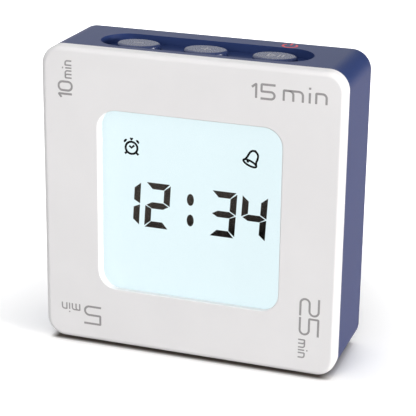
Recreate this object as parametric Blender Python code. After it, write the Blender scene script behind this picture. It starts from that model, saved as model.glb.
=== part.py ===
"""A countdown timer: a square case that stands on one edge, worked by which edge is up.

X runs to the right as the display is read, Y from the display to the back, Z up. The origin is the
middle of the case's base. Depths are counted from the front face, in metres like everything here.
The case is as deep as its contents: display stack, cell bay, AAA cells and battery door. Across, it is
as narrow as those cells and the screw posts beside them allow.
"""

import math

import bmesh
import bpy
from mathutils import Matrix, Vector

for leftover in list(bpy.data.objects):
    bpy.data.objects.remove(leftover, do_unlink=True)

# Case
CASE_WIDTH = 0.0650
CASE_HEIGHT = 0.0650
CORNER_RADIUS = 0.0042
LEAST_CORNER = 0.0003
FRONT_BAND = 0.0029
FRONT_FILLET = 0.0011
REAR_FILLET = 0.0008
SIDE_WALL = 0.0018
FRONT_WALL = 0.0021
REAR_WALL = 0.0016
TONGUE_LENGTH = 0.0015
TONGUE_WALL = 0.0007
GAP = 0.0003

# Display
WINDOW_BORDER = 0.0125
WINDOW_RADIUS = 0.0040
LENS_LAP = 0.0018
LENS_THICKNESS = 0.0008
GLASS_LAP = 0.0023
GLASS_THICKNESS = 0.0009
GLASS_LEDGE = 0.0022
GUIDE_THICKNESS = 0.0015
HOLDER_WALL = 0.0022
ZEBRA_MARGIN = 0.0013
LAMP_WIDTH = 0.0012
LAMP_HEIGHT = 0.0030
LAMP_RISE = 0.0110

# Main board
BOARD_THICKNESS = 0.0010
BOARD_MARGIN = 0.0010
BOARD_CLEARANCE = 0.0006

# Cells and their bay
CELL_RADIUS = 0.00525
CELL_LENGTH = 0.0445
CELL_NUB_RADIUS = 0.0019
CELL_NUB_LENGTH = 0.0008
CELL_SPACING = 0.0005
SPRING_ROOM = 0.0020
PLATE_THICKNESS = 0.0004
BAY_WALL = 0.0012
BAY_FLOOR = 0.0008
BAY_RISE = 0.0024
MOUTH_LIP = 0.0015
MOUTH_LIP_THICKNESS = 0.0008
SPRING_WIRE = 0.00045
SPRING_BASE_RADIUS = 0.0036
SPRING_TIP_RADIUS = 0.0014
SPRING_TURNS = 2.25
SPRING_STEPS = 10
TAIL_WIDTH = 0.0020
TAIL_REACH = 0.0023
WIRE_DIAMETER = 0.0009

# Battery door
DOOR_THICKNESS = 0.0012
DOOR_CLEARANCE = 0.0011
DOOR_LAP = 0.0008
DOOR_RADIUS = 0.0012
TAB_SPACING = 0.0240
TAB_WIDTH = 0.0050
TAB_THICKNESS = 0.0010
TAB_REACH = 0.0012
TAB_ROOT = 0.0014
LATCH_WIDTH = 0.0080
LATCH_WALL = 0.0008
LATCH_DEPTH = 0.0044
LATCH_RISE = 0.0018
LATCH_STEP = 0.0001

# Keys and their pocket
KEY_WIDTH = 0.0094
KEY_DEPTH = 0.0070
KEY_PITCH = 0.0148
KEY_DROP = 0.00036
KEY_TRAVEL = 0.0005
KEY_FLANGE = 0.0009
KEY_FLANGE_THICKNESS = 0.0008
KEY_SKIN = 0.0010
KEY_STEM_RADIUS = 0.0015
KEY_FILLET = 0.00025
POCKET_LENGTH = 0.0458
POCKET_WIDTH = 0.0114
POCKET_DEPTH = 0.0019
POCKET_WALL = 0.0014

# Switches
SWITCH_WIDTH = 0.0060
SWITCH_DEPTH = 0.0035
SWITCH_HEIGHT = 0.0043
PLUNGER_RADIUS = 0.0012
PLUNGER_RISE = 0.0009
PLUNGER_SEAT = 0.0014

# Screws and the posts that they join
POST_RADIUS = 0.0023
REAR_POST_RADIUS = 0.0034
POST_INSET = 0.0049
CASE_SCREW_RADIUS = 0.0010
CASE_SCREW_LENGTH = 0.0090
CASE_SCREW_HEAD_RADIUS = 0.0019
CASE_SCREW_HEAD = 0.0014
CASE_SCREW_SEAT = 0.0120
BOARD_POST_RISE = 0.0045
BOARD_POST_DROP = 0.0051
BOARD_SCREW_RADIUS = 0.00085
BOARD_SCREW_LENGTH = 0.0045
BOARD_SCREW_HEAD_RADIUS = 0.0017
BOARD_SCREW_HEAD = 0.0011

# Parts on the board, each placed by its distance from the board's middle line and lower edge
BUZZER_RADIUS = 0.0060
BUZZER_HEIGHT = 0.0055
BUZZER_WALL = 0.0008
BUZZER_HOLE_RADIUS = 0.0012
BUZZER_DISC_THICKNESS = 0.0003
BUZZER_X = -0.0170
BUZZER_RISE = 0.0170
SOUND_HOLE_RADIUS = 0.0006
SOUND_HOLE_PITCH = 0.0021
BLOB_RADIUS = 0.0050
BLOB_HEIGHT = 0.0016
BLOB_X = 0.0085
BLOB_RISE = 0.0172
CRYSTAL_RADIUS = 0.0010
CRYSTAL_LENGTH = 0.0060
CRYSTAL_X = 0.0085
CRYSTAL_RISE = 0.0246
CAPACITOR_RADIUS = 0.0025
CAPACITOR_HEIGHT = 0.0054
CAPACITOR_X = 0.0195
CAPACITOR_RISE = 0.0165
TRANSISTOR_WIDTH = 0.0029
TRANSISTOR_HEIGHT = 0.0013
TRANSISTOR_DEPTH = 0.0011
TRANSISTOR_X = -0.0040
TRANSISTOR_RISE = 0.0215
TILT_CAN_RADIUS = 0.0020
TILT_CAN_LENGTH = 0.0064
TILT_CAN_WALL = 0.00035
TILT_BASE_LENGTH = 0.0010
TILT_BALL_RADIUS = 0.0013
TILT_X = 0.0095
TILT_RISE = 0.0064

CIRCLE_STEPS = 20
SMALL_STEPS = 14
TINY_STEPS = 10
LARGE_STEPS = 28
FILLET_STEPS = 4
CORNER_STEPS = 8

# Depths, one piece behind the other
LENS_FRONT = FRONT_WALL + GAP
CELL_GLASS_FRONT = LENS_FRONT + LENS_THICKNESS + GAP
LEDGE_BACK = CELL_GLASS_FRONT + GLASS_THICKNESS
GUIDE_FRONT = LEDGE_BACK + GLASS_THICKNESS + GAP
GUIDE_BACK = GUIDE_FRONT + GUIDE_THICKNESS
BOARD_FRONT = GUIDE_BACK + GAP
BOARD_BACK = BOARD_FRONT + BOARD_THICKNESS
ON_BOARD = BOARD_BACK + GAP
BAY_FLOOR_BACK = BOARD_FRONT + BAY_FLOOR
CELL_AXIS = BAY_FLOOR_BACK + GAP + CELL_RADIUS
DOOR_INNER = CELL_AXIS + CELL_RADIUS + DOOR_CLEARANCE
CASE_DEPTH = DOOR_INNER + DOOR_THICKNESS
REAR_INNER = CASE_DEPTH - REAR_WALL
SEAM_FRONT = FRONT_BAND - GAP / 2
SEAM_BACK = FRONT_BAND + GAP / 2
KEY_AXIS = ON_BOARD + SWITCH_DEPTH / 2

# Widths, counted from the middle
HALF_WIDTH = CASE_WIDTH / 2
MIDDLE = CASE_HEIGHT / 2
TONGUE_INSET = SIDE_WALL - TONGUE_WALL
WINDOW_HALF = HALF_WIDTH - WINDOW_BORDER
WINDOW_HALF_HEIGHT = MIDDLE - WINDOW_BORDER
GLASS_HALF = WINDOW_HALF + GLASS_LAP
BAY_HALF = CELL_LENGTH / 2 + SPRING_ROOM + PLATE_THICKNESS + GAP
MOUTH_HALF = BAY_HALF - MOUTH_LIP
DOOR_HALF = MOUTH_HALF + DOOR_LAP
POST_X = HALF_WIDTH - POST_INSET
BOARD_HALF = HALF_WIDTH - SIDE_WALL - BOARD_MARGIN
BOARD_NECK_HALF = POST_X - REAR_POST_RADIUS - BOARD_CLEARANCE
BOARD_POST_X = GLASS_HALF + GAP + HOLDER_WALL + GAP + POST_RADIUS

# Heights above the base
BAY_LOW = SIDE_WALL + BAY_RISE
LOWER_CELL = BAY_LOW + CELL_SPACING + CELL_RADIUS
UPPER_CELL = LOWER_CELL + 2 * CELL_RADIUS + CELL_SPACING
BAY_HIGH = UPPER_CELL + CELL_RADIUS + CELL_SPACING
DOOR_LOW = BAY_LOW - DOOR_LAP
DOOR_HIGH = BAY_HIGH + DOOR_LAP
BOARD_LOW = BAY_HIGH + BAY_WALL + BOARD_CLEARANCE
KEY_TOP = CASE_HEIGHT - KEY_DROP
POCKET_FLOOR = CASE_HEIGHT - POCKET_DEPTH
POCKET_UNDER = POCKET_FLOOR - POCKET_WALL
FLANGE_TOP = POCKET_UNDER - GAP
KEY_BOTTOM = FLANGE_TOP - KEY_FLANGE_THICKNESS
PLUNGER_TOP = KEY_BOTTOM - GAP
SWITCH_TOP = PLUNGER_TOP - PLUNGER_RISE
BOARD_HIGH = SWITCH_TOP
BOARD_NECK_LOW = CASE_HEIGHT - POST_INSET - REAR_POST_RADIUS - BOARD_CLEARANCE
GLASS_LOW = WINDOW_BORDER - GLASS_LAP
GLASS_HIGH = CASE_HEIGHT - GLASS_LOW + GLASS_LEDGE
LAMP_Z = MIDDLE + LAMP_RISE
BOARD_POST_HEIGHTS = (BOARD_LOW + BOARD_POST_RISE, BOARD_NECK_LOW - BOARD_POST_DROP)

PAST = 0.0020  # how far a cutter runs past what it cuts


def srgb(red, green, blue):
    """A colour as it is seen, 0 to 255, as the linear values that a shader takes."""
    return [
        (c / 255 / 12.92 if c <= 10 else ((c / 255 + 0.055) / 1.055) ** 2.4)
        for c in (red, green, blue)
    ]


def material(name, colour, roughness, metallic=0.0):
    made = bpy.data.materials.new(name)
    made.use_nodes = True
    shader = made.node_tree.nodes["Principled BSDF"]
    shader.inputs["Base Color"].default_value = (*srgb(*colour), 1)
    shader.inputs["Roughness"].default_value = roughness
    shader.inputs["Metallic"].default_value = metallic
    return made


WHITE_SHELL = material("white_shell", (230, 228, 229), 0.45)
NAVY_SHELL = material("navy_shell", (46, 62, 112), 0.5)
KEY_NAVY = material("key_navy", (58, 72, 120), 0.4)
CLEAR_LENS = material("clear_lens", (235, 245, 248), 0.1)
DISPLAY_GLASS = material("display_glass", (226, 246, 250), 0.2)
GUIDE_ACRYLIC = material("guide_acrylic", (240, 250, 255), 0.3)
HOLDER_WHITE = material("holder_white", (238, 238, 236), 0.5)
ZEBRA_RUBBER = material("zebra_rubber", (150, 150, 150), 0.8)
BOARD_GREEN = material("board_green", (24, 92, 52), 0.5)
BLACK_EPOXY = material("black_epoxy", (24, 24, 26), 0.35)
BRIGHT_METAL = material("bright_metal", (196, 198, 200), 0.25, 1.0)
SCREW_STEEL = material("screw_steel", (150, 152, 156), 0.3, 1.0)
BRASS = material("brass", (200, 168, 92), 0.35, 1.0)
CELL_WRAP = material("cell_wrap", (38, 84, 60), 0.35)
RED_INSULATION = material("red_insulation", (186, 30, 32), 0.5)
BLACK_INSULATION = material("black_insulation", (28, 28, 30), 0.5)

timer = bpy.data.objects.new("timer", None)
bpy.context.scene.collection.objects.link(timer)


def at(x, depth, z):
    """A point of the model, from its depth behind the front face."""
    return Vector((x, depth - CASE_DEPTH / 2, z))


def arc(centre, radius, start, end, steps):
    """Points on an arc, both ends included, with the angles in degrees."""
    angles = [math.radians(start + (end - start) * k / steps) for k in range(steps + 1)]
    return [(centre[0] + radius * math.cos(a), centre[1] + radius * math.sin(a)) for a in angles]


def circle(centre, radius, steps=CIRCLE_STEPS):
    return arc(centre, radius, 0, 360, steps)[:-1]


def oval(centre, width, height, steps=LARGE_STEPS):
    return [
        (centre[0] + width / 2 * u, centre[1] + height / 2 * v)
        for u, v in circle((0, 0), 1, steps)
    ]


def rectangle(low, high):
    return [low, (high[0], low[1]), high, (low[0], high[1])]


def rounded(low, high, radius, steps=CORNER_STEPS):
    """A rectangle with round corners, counter-clockwise from its upper right corner."""
    (u0, v0), (u1, v1) = low, high
    corners = ((u1, v1, -1, -1), (u0, v1, 1, -1), (u0, v0, 1, 1), (u1, v0, -1, 1))
    points = []
    for turn, (u, v, su, sv) in enumerate(corners):
        centre = (u + su * radius, v + sv * radius)
        points += arc(centre, radius, 90 * turn, 90 * turn + 90, steps)
    return points


def stadium(centre, length, width, steps=CORNER_STEPS * 2):
    """A slot outline with half-round ends, long along its first axis."""
    reach = length / 2 - width / 2
    right = arc((centre[0] + reach, centre[1]), width / 2, -90, 90, steps)
    return right + arc((centre[0] - reach, centre[1]), width / 2, 90, 270, steps)


def case_outline(inset):
    """The case's square outline, drawn in from its sides, with its corners kept concentric."""
    low = (inset - HALF_WIDTH, inset)
    high = (HALF_WIDTH - inset, CASE_HEIGHT - inset)
    return rounded(low, high, max(CORNER_RADIUS - inset, LEAST_CORNER))


def linked(name, mesh, finish, parent=timer):
    obj = bpy.data.objects.new(name, mesh)
    obj.parent = parent
    if not mesh.materials:
        mesh.materials.append(finish)
    bpy.context.scene.collection.objects.link(obj)
    return obj


def smooth(mesh, angle=35):
    mesh.shade_smooth()
    mesh.set_sharp_from_angle(angle=math.radians(angle))


def prism(name, outline, low, high, axis="Y", finish=WHITE_SHELL, fillets=(0, 0)):
    """A solid made by extruding a flat outline along an axis.

    Along Y the outline is (x, z) and low and high are depths, along Z it is (x, y depth), and along X
    it is (y depth, z). The two fillets round the rim at the low and at the high end.
    """
    places = {
        "X": lambda p, t: at(t, p[0], p[1]),
        "Y": lambda p, t: at(p[0], t, p[1]),
        "Z": lambda p, t: at(p[0], p[1], t),
    }
    form = bmesh.new()
    corners = [form.verts.new(places[axis](p, low)) for p in outline]
    base = form.faces.new(corners)
    grown = bmesh.ops.extrude_face_region(form, geom=[base])
    step = places[axis](outline[0], high) - places[axis](outline[0], low)
    top_corners = [item for item in grown["geom"] if isinstance(item, bmesh.types.BMVert)]
    bmesh.ops.translate(form, vec=step, verts=top_corners)
    bmesh.ops.recalc_face_normals(form, faces=form.faces)
    for ring, fillet in ((corners, fillets[0]), (top_corners, fillets[1])):
        if fillet:
            rim = [e for e in form.edges if e.verts[0] in ring and e.verts[1] in ring]
            bmesh.ops.bevel(
                form, geom=rim, offset=fillet, segments=FILLET_STEPS, affect="EDGES", profile=0.5
            )
    mesh = bpy.data.meshes.new(name)
    form.to_mesh(mesh)
    form.free()
    smooth(mesh)
    return linked(name, mesh, finish)


def tool(obj):
    """Marks an object as a helper that shapes another one."""
    obj.hide_render = True
    obj.display_type = "WIRE"
    return obj


def shape(target, operation, *helpers):
    for helper in helpers:
        change = target.modifiers.new(helper.name, "BOOLEAN")
        change.operation = operation
        change.object = tool(helper)


def join(target, *helpers):
    shape(target, "UNION", *helpers)


def cut(target, *helpers):
    shape(target, "DIFFERENCE", *helpers)


def settled(obj):
    """The object with its modifiers made part of its mesh, for pieces that are copied."""
    graph = bpy.context.evaluated_depsgraph_get()
    mesh = bpy.data.meshes.new_from_object(obj.evaluated_get(graph))
    obj.modifiers.clear()
    obj.data = mesh
    return obj


def origin_to(obj, point):
    """Moves an object's origin to a point and leaves its shape in place."""
    obj.data.transform(Matrix.Translation(-Vector(point)))
    obj.location = point
    return obj


def copied(obj, name, shift):
    twin = linked(name, obj.data, None)
    twin.location = obj.location + Vector(shift)
    return twin


def rod(name, centre, radius, low, high, axis="Y", finish=WHITE_SHELL, steps=CIRCLE_STEPS, fillets=(0, 0)):
    return prism(name, circle(centre, radius, steps), low, high, axis, finish, fillets)


def block(name, low, high, finish=WHITE_SHELL):
    """A plain block between two corners, each (x, depth, z)."""
    outline = rectangle((low[0], low[2]), (high[0], high[2]))
    return prism(name, outline, low[1], high[1], "Y", finish)


CASE_POSTS = [(sx * POST_X, z) for z in (POST_INSET, CASE_HEIGHT - POST_INSET) for sx in (-1, 1)]
BOARD_POSTS = [(sx * BOARD_POST_X, z) for z in BOARD_POST_HEIGHTS for sx in (-1, 1)]
KEY_SIDES = (("left", -1), ("middle", 0), ("right", 1))


def window_outline(lap, radius):
    half, half_height = WINDOW_HALF + lap, WINDOW_HALF_HEIGHT + lap
    return rounded((-half, MIDDLE - half_height), (half, MIDDLE + half_height), radius)


def make_front_shell():
    """White tray: face with the window, side band, tongue and the posts behind the face."""
    shell = prism("front_shell", case_outline(0), 0, SEAM_FRONT, fillets=(FRONT_FILLET, 0))
    tongue_end = SEAM_FRONT + TONGUE_LENGTH
    join(shell, prism("front_tongue", case_outline(TONGUE_INSET), FRONT_WALL, tongue_end))
    cut(shell, prism("front_hollow", case_outline(SIDE_WALL), FRONT_WALL, tongue_end + PAST))
    pocket_half = POCKET_LENGTH / 2 + POCKET_WALL + GAP
    room_low = (-pocket_half, SEAM_FRONT, CASE_HEIGHT - CORNER_RADIUS)
    cut(shell, block("tongue_break", room_low, (pocket_half, tongue_end + PAST, CASE_HEIGHT + PAST)))
    cut(shell, prism("window_cut", window_outline(0, WINDOW_RADIUS), -PAST, FRONT_WALL + PAST))
    for k, post in enumerate(CASE_POSTS + BOARD_POSTS):
        join(shell, rod(f"front_post_{k}", post, POST_RADIUS, FRONT_WALL / 2, GUIDE_BACK))
    for k, post in enumerate(CASE_POSTS):
        screw_end = CASE_SCREW_SEAT + GAP - CASE_SCREW_LENGTH
        cut(shell, rod(f"case_pilot_{k}", post, CASE_SCREW_RADIUS + GAP, screw_end - GAP, GUIDE_BACK + PAST))
    for k, post in enumerate(BOARD_POSTS):
        screw_end = ON_BOARD - BOARD_SCREW_LENGTH
        clearance = BOARD_SCREW_RADIUS + GAP
        cut(shell, rod(f"board_pilot_{k}", post, clearance, screw_end - GAP, GUIDE_BACK + PAST))


def make_rear_shell():
    """Navy box: sides and back, cell bay, key pocket, screw posts, door seat and sound holes."""
    shell = prism(
        "rear_shell", case_outline(0), SEAM_BACK, CASE_DEPTH, finish=NAVY_SHELL, fillets=(0, REAR_FILLET)
    )
    cut(shell, prism("rear_hollow", case_outline(SIDE_WALL), SEAM_BACK - PAST, REAR_INNER))
    rebate_end = SEAM_FRONT + TONGUE_LENGTH + GAP
    cut(shell, prism("tongue_rebate", case_outline(TONGUE_INSET - GAP), SEAM_BACK - PAST, rebate_end))
    add_posts(shell)
    add_bay(shell)
    add_pocket(shell)
    for k, (x, z) in enumerate(CASE_POSTS):
        clearance = CASE_SCREW_RADIUS + GAP
        cut(shell, rod(f"screw_way_{k}", (x, z), clearance, BOARD_FRONT - PAST, CASE_SCREW_SEAT + PAST))
        counterbore = CASE_SCREW_HEAD_RADIUS + GAP
        cut(shell, rod(f"counterbore_{k}", (x, z), counterbore, CASE_SCREW_SEAT, CASE_DEPTH + PAST))
    add_sound_holes(shell)


def add_posts(shell):
    for k, post in enumerate(CASE_POSTS):
        join(shell, rod(f"rear_post_{k}", post, REAR_POST_RADIUS, BOARD_FRONT, REAR_INNER + REAR_WALL / 2))


def add_bay(shell):
    """The trough for the cells, with the seat and the slots for the battery door."""
    low = (-BAY_HALF - BAY_WALL, BOARD_FRONT, BAY_LOW - BAY_WALL)
    high = (BAY_HALF + BAY_WALL, REAR_INNER + REAR_WALL / 2, BAY_HIGH + BAY_WALL)
    join(shell, block("bay_block", low, high))
    ledge = DOOR_INNER - GAP
    lip = ledge - MOUTH_LIP_THICKNESS
    cut(shell, block("bay_hollow", (-BAY_HALF, BAY_FLOOR_BACK, BAY_LOW), (BAY_HALF, lip, BAY_HIGH)))
    mouth_high = (MOUTH_HALF, CASE_DEPTH + PAST, BAY_HIGH)
    cut(shell, block("bay_mouth", (-MOUTH_HALF, lip - PAST, BAY_LOW), mouth_high))
    half = DOOR_HALF + GAP
    seat = rounded((-half, DOOR_LOW - GAP), (half, DOOR_HIGH + GAP), DOOR_RADIUS + GAP)
    cut(shell, prism("door_seat", seat, ledge, CASE_DEPTH + PAST))
    notch_half = LATCH_WIDTH / 2 + GAP
    swing = math.hypot(LATCH_DEPTH, DOOR_HIGH + LATCH_RISE - DOOR_LOW)
    notch_low = (-notch_half, CASE_DEPTH - LATCH_DEPTH - GAP, DOOR_HIGH - LATCH_WALL - GAP)
    notch_high = (notch_half, CASE_DEPTH + PAST, DOOR_LOW + swing + GAP)
    cut(shell, block("latch_notch", notch_low, notch_high))
    for side in (-1, 1):
        x = side * TAB_SPACING / 2
        reach = CASE_DEPTH - tab_outer() + TAB_THICKNESS
        swing = math.hypot(reach, max(TAB_REACH, TAB_ROOT)) + GAP
        tab_low = (x - TAB_WIDTH / 2 - GAP, CASE_DEPTH - swing, SIDE_WALL + GAP)
        tab_high = (x + TAB_WIDTH / 2 + GAP, ledge + GAP / 2, BAY_LOW + GAP / 2)
        cut(shell, block(f"tab_slot_{side}", tab_low, tab_high))
    for name, z, depth in TAILS:
        thick, high = PLATE_THICKNESS / 2 + GAP, TAIL_WIDTH / 2 + GAP
        tail_low = (-BAY_HALF - BAY_WALL - PAST, depth - thick, z - high)
        tail_high = (PAST - BAY_HALF, depth + thick, z + high)
        cut(shell, block(f"tail_slot_{name}", tail_low, tail_high))


def add_pocket(shell):
    """The long pocket for the keys, its tub under the top wall, and the three key holes."""
    tub_length = POCKET_LENGTH + 2 * POCKET_WALL
    tub = stadium((0, KEY_AXIS), tub_length, POCKET_WIDTH + 2 * POCKET_WALL)
    join(shell, prism("pocket_tub", tub, POCKET_UNDER, CASE_HEIGHT - SIDE_WALL / 2, "Z"))
    pocket = stadium((0, KEY_AXIS), POCKET_LENGTH, POCKET_WIDTH)
    cut(shell, prism("key_pocket", pocket, POCKET_FLOOR, CASE_HEIGHT + PAST, "Z"))
    for side, turn in KEY_SIDES:
        hole = oval((turn * KEY_PITCH, KEY_AXIS), KEY_WIDTH + 2 * GAP, KEY_DEPTH + 2 * GAP)
        cut(shell, prism(f"key_hole_{side}", hole, POCKET_UNDER - PAST, POCKET_FLOOR + PAST / 2, "Z"))


def add_sound_holes(shell):
    """A ring of six small holes round a seventh, behind the buzzer."""
    z = BOARD_LOW + BUZZER_RISE
    ring = [(0, 0)] + circle((0, 0), SOUND_HOLE_PITCH, 6)
    for k, (u, v) in enumerate(ring):
        place = (BUZZER_X + u, z + v)
        ends = (REAR_INNER - PAST, CASE_DEPTH + PAST)
        cut(shell, rod(f"sound_hole_{k}", place, SOUND_HOLE_RADIUS, *ends, steps=TINY_STEPS))


def tab_outer():
    """The depth of the door tabs' outer face, just inside the rear wall."""
    return min(REAR_INNER, DOOR_INNER) - GAP


def make_battery_door():
    """Door plate that tips out about its lower edge, with two tabs there and a folded latch above."""
    outline = rounded((-DOOR_HALF, DOOR_LOW), (DOOR_HALF, DOOR_HIGH), DOOR_RADIUS)
    door = prism("battery_door", outline, DOOR_INNER, CASE_DEPTH, finish=NAVY_SHELL)
    root_end = DOOR_INNER + DOOR_THICKNESS / 2
    for side in (-1, 1):
        x = side * TAB_SPACING / 2
        outer = tab_outer()
        outline = [
            (outer - TAB_THICKNESS, DOOR_LOW - TAB_REACH),
            (outer, DOOR_LOW - TAB_REACH),
            (outer, DOOR_LOW + GAP),
            (root_end, DOOR_LOW + GAP),
            (root_end, DOOR_LOW + TAB_ROOT),
            (outer - TAB_THICKNESS, DOOR_LOW + TAB_ROOT),
        ]
        join(door, prism(f"door_tab_{side}", outline, x - TAB_WIDTH / 2, x + TAB_WIDTH / 2, "X"))
    deep, wall, top = CASE_DEPTH - LATCH_DEPTH, LATCH_WALL, DOOR_HIGH + LATCH_RISE
    latch = [
        (deep, DOOR_HIGH - wall),
        (root_end, DOOR_HIGH - wall),
        (root_end, DOOR_HIGH - LATCH_STEP),
        (deep + wall, DOOR_HIGH - LATCH_STEP),
        (deep + wall, top - wall),
        (CASE_DEPTH, top - wall),
        (CASE_DEPTH, top),
        (deep, top),
    ]
    join(door, prism("door_latch", latch, -LATCH_WIDTH / 2, LATCH_WIDTH / 2, "X"))
    origin_to(settled(door), at(0, CASE_DEPTH, DOOR_LOW))


def make_display():
    """Lens, display cell, light guide, the holder round them, contact strip and two lamps."""
    lens = window_outline(LENS_LAP, WINDOW_RADIUS / 2)
    prism("display_lens", lens, LENS_FRONT, LENS_FRONT + LENS_THICKNESS, finish=CLEAR_LENS)
    back_high = GLASS_HIGH - GLASS_LEDGE
    glass = [
        (CELL_GLASS_FRONT, GLASS_LOW),
        (LEDGE_BACK + GLASS_THICKNESS, GLASS_LOW),
        (LEDGE_BACK + GLASS_THICKNESS, back_high),
        (LEDGE_BACK, back_high),
        (LEDGE_BACK, GLASS_HIGH),
        (CELL_GLASS_FRONT, GLASS_HIGH),
    ]
    prism("lcd_cell", glass, -GLASS_HALF, GLASS_HALF, "X", DISPLAY_GLASS)
    guide = rectangle((-GLASS_HALF, GLASS_LOW), (GLASS_HALF, back_high))
    prism("light_guide", guide, GUIDE_FRONT, GUIDE_BACK, finish=GUIDE_ACRYLIC)
    strip_half = GLASS_HALF - ZEBRA_MARGIN
    strip = rectangle((-strip_half, back_high + GAP), (strip_half, GLASS_HIGH - GAP))
    prism("zebra_strip", strip, LEDGE_BACK + GAP, GUIDE_BACK, finish=ZEBRA_RUBBER)
    make_holder()
    for side, turn in (("left", -1), ("right", 1)):
        near, far = turn * (GLASS_HALF + GAP), turn * (GLASS_HALF + GAP + LAMP_WIDTH)
        low = (min(near, far), GUIDE_FRONT, LAMP_Z - LAMP_HEIGHT / 2)
        high = (max(near, far), GUIDE_BACK, LAMP_Z + LAMP_HEIGHT / 2)
        block(f"backlight_lamp_{side}", low, high, HOLDER_WHITE)


def make_holder():
    inner_half = GLASS_HALF + GAP
    inner_low, inner_high = GLASS_LOW - GAP, GLASS_HIGH + GAP
    outer_half = inner_half + HOLDER_WALL
    outer_low, outer_high = inner_low - HOLDER_WALL, inner_high + HOLDER_WALL
    outer = rounded((-outer_half, outer_low), (outer_half, outer_high), HOLDER_WALL / 2, FILLET_STEPS)
    holder = prism("display_holder", outer, LENS_FRONT, GUIDE_BACK, finish=HOLDER_WHITE)
    pocket = rectangle((-inner_half, inner_low), (inner_half, inner_high))
    cut(holder, prism("holder_pocket", pocket, LENS_FRONT - PAST, GUIDE_BACK + PAST))
    lamp_half = GLASS_HALF + 2 * GAP + LAMP_WIDTH
    low = (-lamp_half, GUIDE_FRONT - GAP, LAMP_Z - LAMP_HEIGHT / 2 - GAP)
    cut(holder, block("lamp_slots", low, (lamp_half, GUIDE_BACK + PAST, LAMP_Z + LAMP_HEIGHT / 2 + GAP)))


def make_main_board():
    """Circuit board, narrower at the top between the upper screw posts."""
    outline = [
        (-BOARD_HALF, BOARD_LOW),
        (BOARD_HALF, BOARD_LOW),
        (BOARD_HALF, BOARD_NECK_LOW),
        (BOARD_NECK_HALF, BOARD_NECK_LOW),
        (BOARD_NECK_HALF, BOARD_HIGH),
        (-BOARD_NECK_HALF, BOARD_HIGH),
        (-BOARD_NECK_HALF, BOARD_NECK_LOW),
        (-BOARD_HALF, BOARD_NECK_LOW),
    ]
    board = prism("main_board", outline, BOARD_FRONT, BOARD_BACK, finish=BOARD_GREEN)
    for k, post in enumerate(BOARD_POSTS):
        clearance = BOARD_SCREW_RADIUS + GAP
        cut(board, rod(f"board_hole_{k}", post, clearance, BOARD_FRONT - PAST, BOARD_BACK + PAST))


def make_board_parts():
    z = BOARD_LOW + BLOB_RISE
    rise = BLOB_HEIGHT
    ball = (BLOB_RADIUS**2 + rise**2) / (2 * rise)
    form = bmesh.new()
    rings = 5
    edge = math.asin(BLOB_RADIUS / ball)
    middle = ON_BOARD + rise - ball
    angles = [edge * k / rings for k in range(rings + 1)]
    profile = [at(BLOB_X + ball * math.sin(a), middle + ball * math.cos(a), z) for a in angles]
    profile.append(at(BLOB_X, ON_BOARD, z))
    points = [form.verts.new(p) for p in profile]
    line = [form.edges.new(pair) for pair in zip(points, points[1:])]
    bmesh.ops.spin(
        form, geom=points + line, cent=at(BLOB_X, ON_BOARD, z), axis=(0, 1, 0), angle=2 * math.pi,
        steps=CIRCLE_STEPS, use_merge=True,
    )
    bmesh.ops.remove_doubles(form, verts=form.verts, dist=1e-6)
    bmesh.ops.recalc_face_normals(form, faces=form.faces)
    mesh = bpy.data.meshes.new("driver_blob")
    form.to_mesh(mesh)
    form.free()
    smooth(mesh)
    linked("driver_blob", mesh, BLACK_EPOXY)

    crystal = (ON_BOARD + CRYSTAL_RADIUS, BOARD_LOW + CRYSTAL_RISE)
    ends = (CRYSTAL_X - CRYSTAL_LENGTH / 2, CRYSTAL_X + CRYSTAL_LENGTH / 2)
    rod("crystal", crystal, CRYSTAL_RADIUS, *ends, "X", BRIGHT_METAL, SMALL_STEPS)
    can = (CAPACITOR_X, BOARD_LOW + CAPACITOR_RISE)
    rod("capacitor", can, CAPACITOR_RADIUS, ON_BOARD, ON_BOARD + CAPACITOR_HEIGHT, finish=BRIGHT_METAL)
    z = BOARD_LOW + TRANSISTOR_RISE
    low = (TRANSISTOR_X - TRANSISTOR_WIDTH / 2, ON_BOARD, z - TRANSISTOR_HEIGHT / 2)
    high = (TRANSISTOR_X + TRANSISTOR_WIDTH / 2, ON_BOARD + TRANSISTOR_DEPTH, z + TRANSISTOR_HEIGHT / 2)
    block("transistor", low, high, BLACK_EPOXY)


def make_buzzer():
    """Round case, open towards the board, with a sound hole and a brass disc inside."""
    centre = (BUZZER_X, BOARD_LOW + BUZZER_RISE)
    back = ON_BOARD + BUZZER_HEIGHT
    case = rod("buzzer_case", centre, BUZZER_RADIUS, ON_BOARD, back, finish=BLACK_EPOXY, steps=LARGE_STEPS)
    inner = BUZZER_RADIUS - BUZZER_WALL
    hollow = (ON_BOARD - PAST, back - BUZZER_WALL)
    cut(case, rod("buzzer_hollow", centre, inner, *hollow, steps=LARGE_STEPS))
    mouth = (back - BUZZER_WALL - PAST, back + PAST)
    cut(case, rod("buzzer_mouth", centre, BUZZER_HOLE_RADIUS, *mouth, steps=SMALL_STEPS))
    disc_front = ON_BOARD + BUZZER_WALL
    faces = (disc_front, disc_front + BUZZER_DISC_THICKNESS)
    rod("buzzer_disc", centre, inner - GAP, *faces, finish=BRASS, steps=LARGE_STEPS)


def turned_along(obj, origin, direction):
    """Turns an object modelled along Z at the origin to a direction, and moves it to its place."""
    turn = Vector((0, 0, 1)).rotation_difference(Vector(direction)).to_matrix().to_4x4()
    obj.data.transform(turn)
    obj.location = origin
    return obj


def tilt_travel():
    """How far the ball runs between the closed end of its can and the base."""
    return TILT_CAN_LENGTH + GAP - TILT_CAN_WALL - 2 * TILT_BALL_RADIUS - 2 * GAP


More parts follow.
